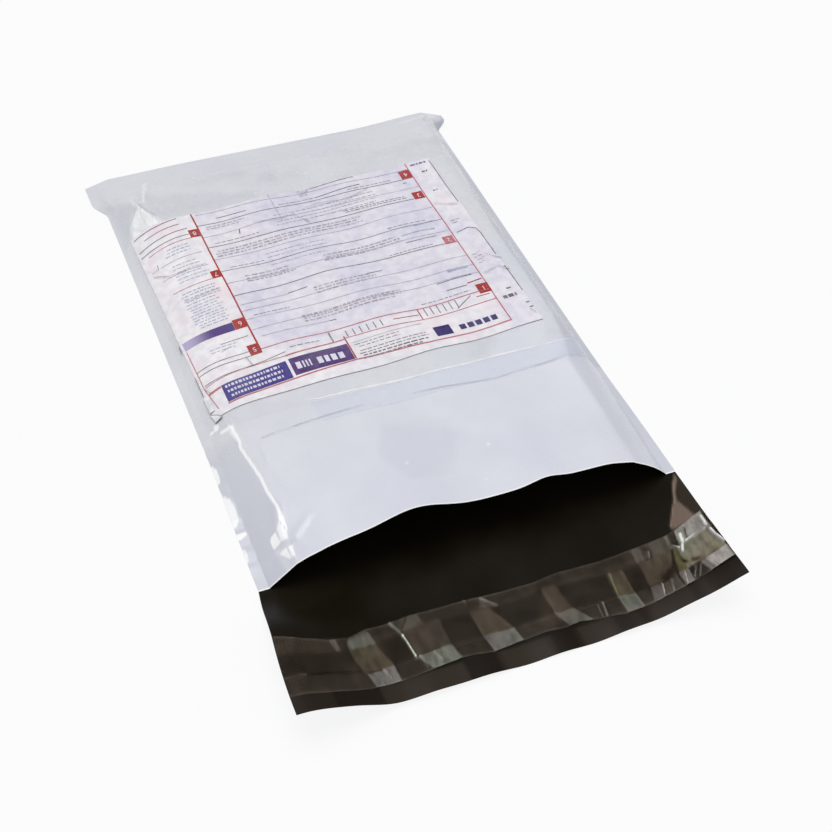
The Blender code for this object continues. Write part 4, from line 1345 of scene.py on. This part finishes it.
def liner_clear():
    """Clear film: painted grey-white reflections where it stands off, olive where glue is behind it."""
    surface = Surface("liner_clear")
    surface.set(Roughness=0.22, IOR=1.5, Specular_IOR_Level=0.3)
    hue = surface.ramp(surface.noise(30.0, 2.0), 0.40, 0.60)
    grey = surface.blend(hue, (0.54, 0.56, 0.46), (0.60, 0.55, 0.51))
    olive = surface.blend(hue, (0.43, 0.42, 0.14), (0.46, 0.395, 0.14))
    plain = surface.ramp(surface.field("haze_and_painted_light"), 0.08, 0.32, 1.0, 0.0)
    olive = surface.blend(surface.ramp(surface.noise(85.0, 3.0), 0.50, 0.68), olive, (0.50, 0.44, 0.25))
    film = surface.blend(surface.math("MULTIPLY", surface.field("glue"), plain), grey, olive)
    weak = surface.ramp(surface.field("haze_and_painted_light"), 0.02, 0.12)
    film = surface.blend(weak, (0.60, 0.46, 0.36), film)
    # Painted highlight: the liner is painted nearly white where its reflections are strongest
    bright = surface.ramp(surface.field("haze_and_painted_light"), 0.40, 0.80)
    surface.drive("Base Color", surface.blend(bright, film, (0.86, 0.87, 0.86)))
    streak = surface.ramp(surface.noise(260.0, 3.0, (1.0, 0.35, 1.0)), 0.3, 0.7, 0.65, 1.30)
    haze = surface.ramp(surface.noise(38.0, 3.0), 0.50, 0.75, 0.0, 0.018)
    clear = surface.math("MULTIPLY", surface.field("haze_and_painted_light"), streak)
    surface.drive("Alpha", surface.math("ADD", clear, haze))
    surface.drive("Normal", surface.bump(surface.noise(150.0, 3.0), 0.0005, 0.5))
    return surface.material


# The sheets

def cell_across(s):
    return CELL_ACROSS if LEFT_SIDE_S < s < RIGHT_SIDE_S else CELL_ACROSS_AT_SIDES


def cell_along(t):
    if MOUTH_T < t < MOUTH_ZONE_T:
        return CELL_ALONG_AT_MOUTH
    return CELL_ALONG_UNDER_FORM if FORM_ZONE_T[0] < t < FORM_ZONE_T[1] else CELL_ALONG


SIDE_MARKS = [EDGE_S, WELD_S, POUCH_WELD_S, WELD_S - DRAWN_STRIP]
ACROSS = grid_lines(
    SIDE_MARKS + [-mark for mark in SIDE_MARKS] + [CREASE_S, LEFT_SIDE_S, RIGHT_SIDE_S],
    cell_across,
)
ALONG = grid_lines(
    [NEAR_T, MOUTH_T, MOUTH_T + MOUTH_RIM, MOUTH_ZONE_T, LIP_T, POUCH_MOUTH_T, *FORM_ZONE_T,
     FORM_FAR_T, POUCH_WELD_T, POUCH_END_T, FAR_T - RIGHT_EAR_LENGTH, FOLD_T, FAR_T],
    cell_along,
)

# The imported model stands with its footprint's middle at x = 0
SHIFT_X = 0.0
SHIFT_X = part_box("bag_film")[0][0] - lay_x(*np.meshgrid(ACROSS, ALONG)).min()


def build_bag():
    return pocket(
        "mailer_film", "bag_film", ACROSS, ALONG, WELD_S, MOUTH_T, FOLD_T,
        back_height, bag_room, FILM, [film_white(), film_black()],
        shades={"painted_highlight": painted_highlight, "painted_shade": painted_shade, "painted_facet_light": painted_side_highlight, "painted_edge_sheen": painted_edge_sheen},
    )


def build_pouch():
    clear = pouch_clear()
    return pocket(
        "pouch_film", "document_pouch", between(ACROSS, -WELD_S, WELD_S),
        between(ALONG, LIP_T, POUCH_END_T), POUCH_WELD_S, POUCH_MOUTH_T, POUCH_WELD_T,
        pouch_under, pouch_room, PLY, [clear, clear],
    )


def over_pouch(s, t):
    return pouch_top(s, t) + AIR


def over_crumple_highlights(s, t):
    return over_pouch(s, t) + 2 * INK


def build_pouch_edges():
    """Painted highlights at the pouch's mouth and crumpled places; painted shade on creases and lip."""
    # Painted highlight: a white strip along the pouch's mouth
    s, t = ribbon(BEAD_HIGHLIGHT_PATH, BEAD_HIGHLIGHT_WIDTH, CELL_ACROSS, BEAD_HIGHLIGHT_TAPER)
    bead_highlight = Gathered()
    bead_highlight.add(*slab(s, t, front_top, BEAD_HIGHLIGHT_HEIGHT), flat_places(s, t))
    bead_highlight.build("pouch_bead_highlight", painted_glint_white("bead_highlight", 0.90, 1.00), "pouch_clear", smooth=False)

    # Painted highlights on the crumpled places of the pouch film
    crumple_highlights = Gathered()
    for corners in CRUMPLE_HIGHLIGHTS:
        s, t = patch_grid(corners, EDGE_CELL)
        crumple_highlights.add(*slab(s, t, over_pouch, INK), flat_places(s, t))
    crumple_highlights.build("pouch_crumple_highlights", painted_glint_white("crumple_highlights", 0.55, 0.95), "pouch_clear", smooth=False)

    # Lines of painted shade along the edge of the pouch's lip
    lines = Gathered()
    for path in LIP_SHADE_PATHS:
        s, t = ribbon(path, LIP_SHADE_WIDTH, CELL_ACROSS)
        lines.add(*slab(s, t, over_pouch, INK), flat_places(s, t))
    lines.build("pouch_lip_edge_shade", painted_shade_line("lip_edge_shade", 0.03, 0.12), "pouch_clear")

    # Lines of painted shade along creases of the pouch film
    crease_shade = Gathered()
    for path in CREASE_SHADE_PATHS:
        s, t = ribbon(path, CREASE_SHADE_WIDTH, EDGE_CELL)
        crease_shade.add(*slab(s, t, over_crumple_highlights, INK), flat_places(s, t))
    crease_shade.build("pouch_crease_shade", painted_shade_line("crease_shade", 0.20, 0.60), "pouch_clear")


class Gathered:
    """Several closed bodies that become one piece."""

    def __init__(self):
        self.vertices, self.faces, self.places = [], [], []
        self.count = 0

    def add(self, vertices, faces, places):
        self.vertices.append(vertices)
        self.faces.append(faces + self.count)
        self.places.append(places)
        self.count += len(vertices)

    def build(self, name, material, slot, smooth=True):
        return new_piece(
            name, np.concatenate(self.vertices), [np.concatenate(self.faces)], [material],
            {"place": np.concatenate(self.places)}, smooth=smooth,
        )


def on_form(a, b):
    """Place on the bag of a point of the form: a from its left edge, b from its near edge."""
    wave = FORM_WAVE * np.sin(2 * math.pi * (a / FORM_WAVE_ACROSS + b / FORM_WAVE_ALONG))
    s = FORM_CORNER_S + a * math.cos(FORM_TURN) - b * math.sin(FORM_TURN)
    t = FORM_CORNER_T + a * math.sin(FORM_TURN) + b * math.cos(FORM_TURN) + wave
    return np.maximum(s, -POUCH_WELD_S + AIR), t


def build_form():
    a, b = even_grid(0.0, 0.0, FORM_WIDTH, FORM_LENGTH, FORM_CELL)
    vertices, faces = slab(*on_form(a, b), form_under, PAPER)
    fields = {"place": flat_places(a, b)}
    form = new_piece("printed_form", vertices, [faces], [form_paper()], fields, "waybill")
    return form


class Print(Gathered):
    """Marks of one ink on the form. Their sizes are given in millimetres."""

    def __init__(self, lift=INK_LIFT):
        super().__init__()
        self.lift = lift

    def under(self, s, t):
        return form_under(s, t) + PAPER + self.lift

    def patch(self, a, b):
        self.add(*slab(*on_form(a, b), self.under, INK), flat_places(a, b))

    def field(self, left, near, right, far):
        corners = np.array((left, near, right, far)) / 1000
        self.patch(*even_grid(*corners, PRINT_CELL))

    def line(self, width, path):
        self.patch(*ribbon(np.array(path) / 1000, width / 1000, PRINT_CELL))

    def quad(self, corners):
        self.patch(*patch_grid(np.array(corners) / 1000, PRINT_CELL))

    def text(self, random, left, right, near, far, pitch, height, slope, lengths=DASH_LENGTHS):
        """Rows of dashes of random length, with a ragged end."""
        for row in np.arange(near, far, pitch):
            at = left + random.uniform(0, 3)
            end = right - random.uniform(0, 6)
            while at < end:
                length = max(min(random.uniform(*lengths), end - at), 0.6)
                low = row + slope * (at - left)
                self.field(at, low, at + length, low + height)
                at += length + DASH_GAP

    def digit(self, figure, a, b):
        """A digit that stands on its head as seen from the flap, like the rest of the form."""
        curve = bpy.data.curves.new("digit", "FONT")
        curve.body = figure
        curve.size = DIGIT_HEIGHT / 1000 / 0.7
        curve.align_x, curve.align_y = "CENTER", "CENTER"
        curve.extrude = INK
        curve.resolution_u = 3
        holder = bpy.data.objects.new("digit", curve)
        flat = bpy.data.meshes.new_from_object(holder)
        bm = bmesh.new()
        bm.from_mesh(flat)
        bmesh.ops.remove_doubles(bm, verts=bm.verts, dist=INK / 10)
        bmesh.ops.triangulate(bm, faces=bm.faces)
        points = np.array([vertex.co[:] for vertex in bm.verts])
        faces = np.array([[vertex.index for vertex in face.verts] for face in bm.faces])
        bm.free()
        bpy.data.objects.remove(holder)
        bpy.data.curves.remove(curve)
        bpy.data.meshes.remove(flat)
        a_at, b_at = a / 1000 - points[:, 0], b / 1000 - points[:, 1]
        s, t = on_form(a_at, b_at)
        z = self.under(s, t) + INK * (points[:, 2] > 0)
        places = np.stack([a_at, b_at, np.zeros(len(points))], -1)
        self.add(np.stack([lay_x(s, t), t, z], -1), faces, places)


def print_marks(name, first, second, lines=(), fields=(), text=(), lengths=DASH_LENGTHS, seed=0):
    """One piece with every mark of one ink."""
    marks = Print()
    random = np.random.default_rng(seed)
    for line in lines:
        marks.line(*line)
    for field in fields:
        marks.field(*field)
    for block in text:
        marks.text(random, *block, lengths)
    marks.build(name, ink(name, first, second), "form_paper")


def build_print():
    print_marks("ink_red", (0.330, 0.018, 0.014), (0.420, 0.034, 0.026), RED_LINES, RED_SQUARES)
    print_marks("ink_pink", (0.440, 0.095, 0.120), (0.540, 0.200, 0.210), PINK_LINES,
                PINK_SQUARES)
    print_marks("ink_grey", (0.120, 0.105, 0.120), (0.260, 0.225, 0.245),
                GREY_LINES + [(0.6, [(at, near), (at, far)]) for first, last, pitch, near, far in COMBS
                              for at in np.arange(first, last, pitch)], text=GREY_TEXT, seed=1)
    print_marks("ink_pale", (0.330, 0.300, 0.360), (0.540, 0.500, 0.570), PALE_LINES,
                text=PALE_TEXT, seed=2)
    print_marks("ink_slate", (0.300, 0.340, 0.480), (0.480, 0.510, 0.630), BLUE_LINES,
                text=SLATE_TEXT, seed=3)
    print_marks("ink_violet", (0.130, 0.095, 0.300), (0.230, 0.190, 0.400), text=VIOLET_TEXT, seed=4)
    print_marks("ink_navy", (0.016, 0.009, 0.100), (0.036, 0.022, 0.160), fields=NAVY_BLOCKS)

    for name, corners, first, second in (
        ("ink_blue_bar", BLUE_BAR, (0.042, 0.032, 0.210), (0.075, 0.052, 0.260)),
        ("ink_purple_bar", PURPLE_BAR, (0.062, 0.022, 0.130), (0.100, 0.045, 0.200)),
    ):
        bar = Print()
        bar.quad(corners)
        bar.build(name, ink(name, first, second), "form_paper")

    fading = Print()
    fading.field(*LEFT_BAR)
    fading.build("ink_fading", fading_ink("ink_fading", (0.46, 0.40, 0.60), (0.085, 0.045, 0.200)),
                 "form_paper")

    white = Print(WHITE_INK_LIFT)
    random = np.random.default_rng(5)
    for block in WHITE_TEXT:
        white.text(random, *block, WHITE_DASH_LENGTHS)
    for block in WHITE_BLOCKS:
        white.field(*block)
    for digit in DIGITS:
        white.digit(*digit)
    white.build("ink_white", ink("ink_white", (0.62, 0.60, 0.72), (0.76, 0.74, 0.82)),
                "form_paper")


def build_adhesive():
    s, t = np.meshgrid(
        ACROSS, even_lines(ADHESIVE_NEAR_T, ADHESIVE_FAR_T, CELL_ALONG), indexing="ij",
    )
    vertices, faces = slab(s, t, adhesive_under, STRIP)
    fields = {"place": flat_places(s, t)}
    return new_piece("glue_strip", vertices, [faces], [adhesive_strip()], fields, "flap_adhesive")


def build_liner():
    s, run = np.meshgrid(
        even_lines(-EDGE_S, EDGE_S, LINER_CELL_ACROSS),
        even_lines(0.0, 1.0, LINER_CELL_ALONG / LINER_WIDTH), indexing="ij",
    )
    t = mix(np.interp(s, *LINER_NEAR_EDGE), np.interp(s, *LINER_FAR_EDGE), run)
    glue = over_glue(s, t)
    lit = np.maximum(liner_patches(s, t) + liner_folds(s, t), 0.0)
    edge = LINER_EDGE_MILK * (tent(run, LINER_EDGE_RUN) + tent(1 - run, LINER_EDGE_RUN))
    # How bright and opaque the liner is painted: a little over the glue, painted highlights in its patches and
    # folds, and lighter along both its edges
    haze_and_painted_light = np.minimum(mix(0.018, 0.004, glue) + 0.170 * lit ** 1.6 + edge, 0.97)
    vertices, faces = slab(s, t, liner_under, STRIP)
    fields = {
        "place": flat_places(s, t),
        "glue": np.tile(glue.ravel(), 2),
        "haze_and_painted_light": np.tile(haze_and_painted_light.ravel(), 2),
    }
    liner = new_piece("liner_film", vertices, [faces], [liner_clear()], fields, "release_liner")
    return liner


# Camera, lights and floor

CAMERA_AZIMUTH = math.radians(-24.703)
CAMERA_ELEVATION = math.radians(46.158)
CAMERA_ROLL = math.radians(3.691)
CAMERA_DISTANCE = 0.8756
CAMERA_TARGET = Vector((0.0034, -0.0444, 0.0))
CAMERA_LENS = 64.9

SKY_STRENGTH = 0.535
SKY_COLOUR = (0.975, 0.985, 1.0, 1.0)
KEY_STRENGTH = 1.60
KEY_DIRECTION = Vector((-0.03, 0.28, 0.96))
KEY_ANGLE = math.radians(46)

# The floor is seen brighter than it is lit, so that it is white with a faint shadow
FLOOR_SIZE = 8.0
FLOOR_SEEN = 0.972
FLOOR_SEEN_SHARE = 0.88


def build_camera():
    back = Vector((
        math.sin(CAMERA_AZIMUTH) * math.cos(CAMERA_ELEVATION),
        -math.cos(CAMERA_AZIMUTH) * math.cos(CAMERA_ELEVATION),
        math.sin(CAMERA_ELEVATION),
    ))
    right = Vector((0, 0, 1)).cross(back).normalized()
    up = back.cross(right)
    turned_right = right * math.cos(CAMERA_ROLL) + up * math.sin(CAMERA_ROLL)
    turned_up = up * math.cos(CAMERA_ROLL) - right * math.sin(CAMERA_ROLL)
    data = bpy.data.cameras.new("camera")
    data.lens = CAMERA_LENS
    data.sensor_width = 36.0
    camera = bpy.data.objects.new("camera", data)
    rotation = Matrix((turned_right, turned_up, back)).transposed()
    place = Matrix.Translation(CAMERA_TARGET + back * CAMERA_DISTANCE)
    camera.matrix_world = place @ rotation.to_4x4()
    bpy.context.scene.collection.objects.link(camera)
    bpy.context.scene.camera = camera


def build_lights():
    world = bpy.data.worlds.new("studio")
    world.use_nodes = True
    nodes, links = world.node_tree.nodes, world.node_tree.links
    background = nodes["Background"]
    background.inputs["Color"].default_value = SKY_COLOUR
    background.inputs["Strength"].default_value = SKY_STRENGTH
    seen = nodes.new("ShaderNodeBackground")
    seen.inputs["Color"].default_value = (1.0, 1.0, 1.0, 1.0)
    seen.inputs["Strength"].default_value = 1.0
    path = nodes.new("ShaderNodeLightPath")
    blend = nodes.new("ShaderNodeMixShader")
    links.new(path.outputs["Is Camera Ray"], blend.inputs[0])
    links.new(background.outputs[0], blend.inputs[1])
    links.new(seen.outputs[0], blend.inputs[2])
    links.new(blend.outputs[0], nodes["World Output"].inputs["Surface"])
    bpy.context.scene.world = world

    sun = bpy.data.lights.new("key", "SUN")
    sun.energy = KEY_STRENGTH
    sun.angle = KEY_ANGLE
    key = bpy.data.objects.new("key", sun)
    key.rotation_euler = KEY_DIRECTION.to_track_quat("Z", "Y").to_euler()
    bpy.context.scene.collection.objects.link(key)


def build_floor():
    surface = Surface("floor")
    surface.set(Roughness=0.9, Base_Color=(0.945, 0.945, 0.945, 1.0), Specular_IOR_Level=0.0)
    seen = surface.node("ShaderNodeEmission")
    seen.inputs["Color"].default_value = (FLOOR_SEEN, FLOOR_SEEN, FLOOR_SEEN, 1.0)
    path = surface.node("ShaderNodeLightPath")
    share = surface.math("MULTIPLY", path.outputs["Is Camera Ray"], FLOOR_SEEN_SHARE)
    blend = surface.node("ShaderNodeMixShader")
    surface.link(share, blend.inputs[0])
    surface.link(surface.shader.outputs[0], blend.inputs[1])
    surface.link(seen.outputs[0], blend.inputs[2])
    surface.link(blend.outputs[0], surface.tree.nodes["Material Output"].inputs["Surface"])
    half = FLOOR_SIZE / 2
    mesh = bpy.data.meshes.new("floor")
    corners = [(-half, -half, 0.0), (half, -half, 0.0), (half, half, 0.0), (-half, half, 0.0)]
    mesh.from_pydata(corners, [], [(0, 1, 2, 3)])
    mesh.materials.append(surface.material)
    floor = bpy.data.objects.new("floor", mesh)
    bpy.context.scene.collection.objects.link(floor)


def main():
    bpy.context.scene.view_settings.view_transform = "Standard"
    build_camera()
    build_lights()
    build_floor()
    build_bag()
    build_pouch()
    build_pouch_edges()
    build_form()
    build_print()
    build_adhesive()
    build_liner()


main()
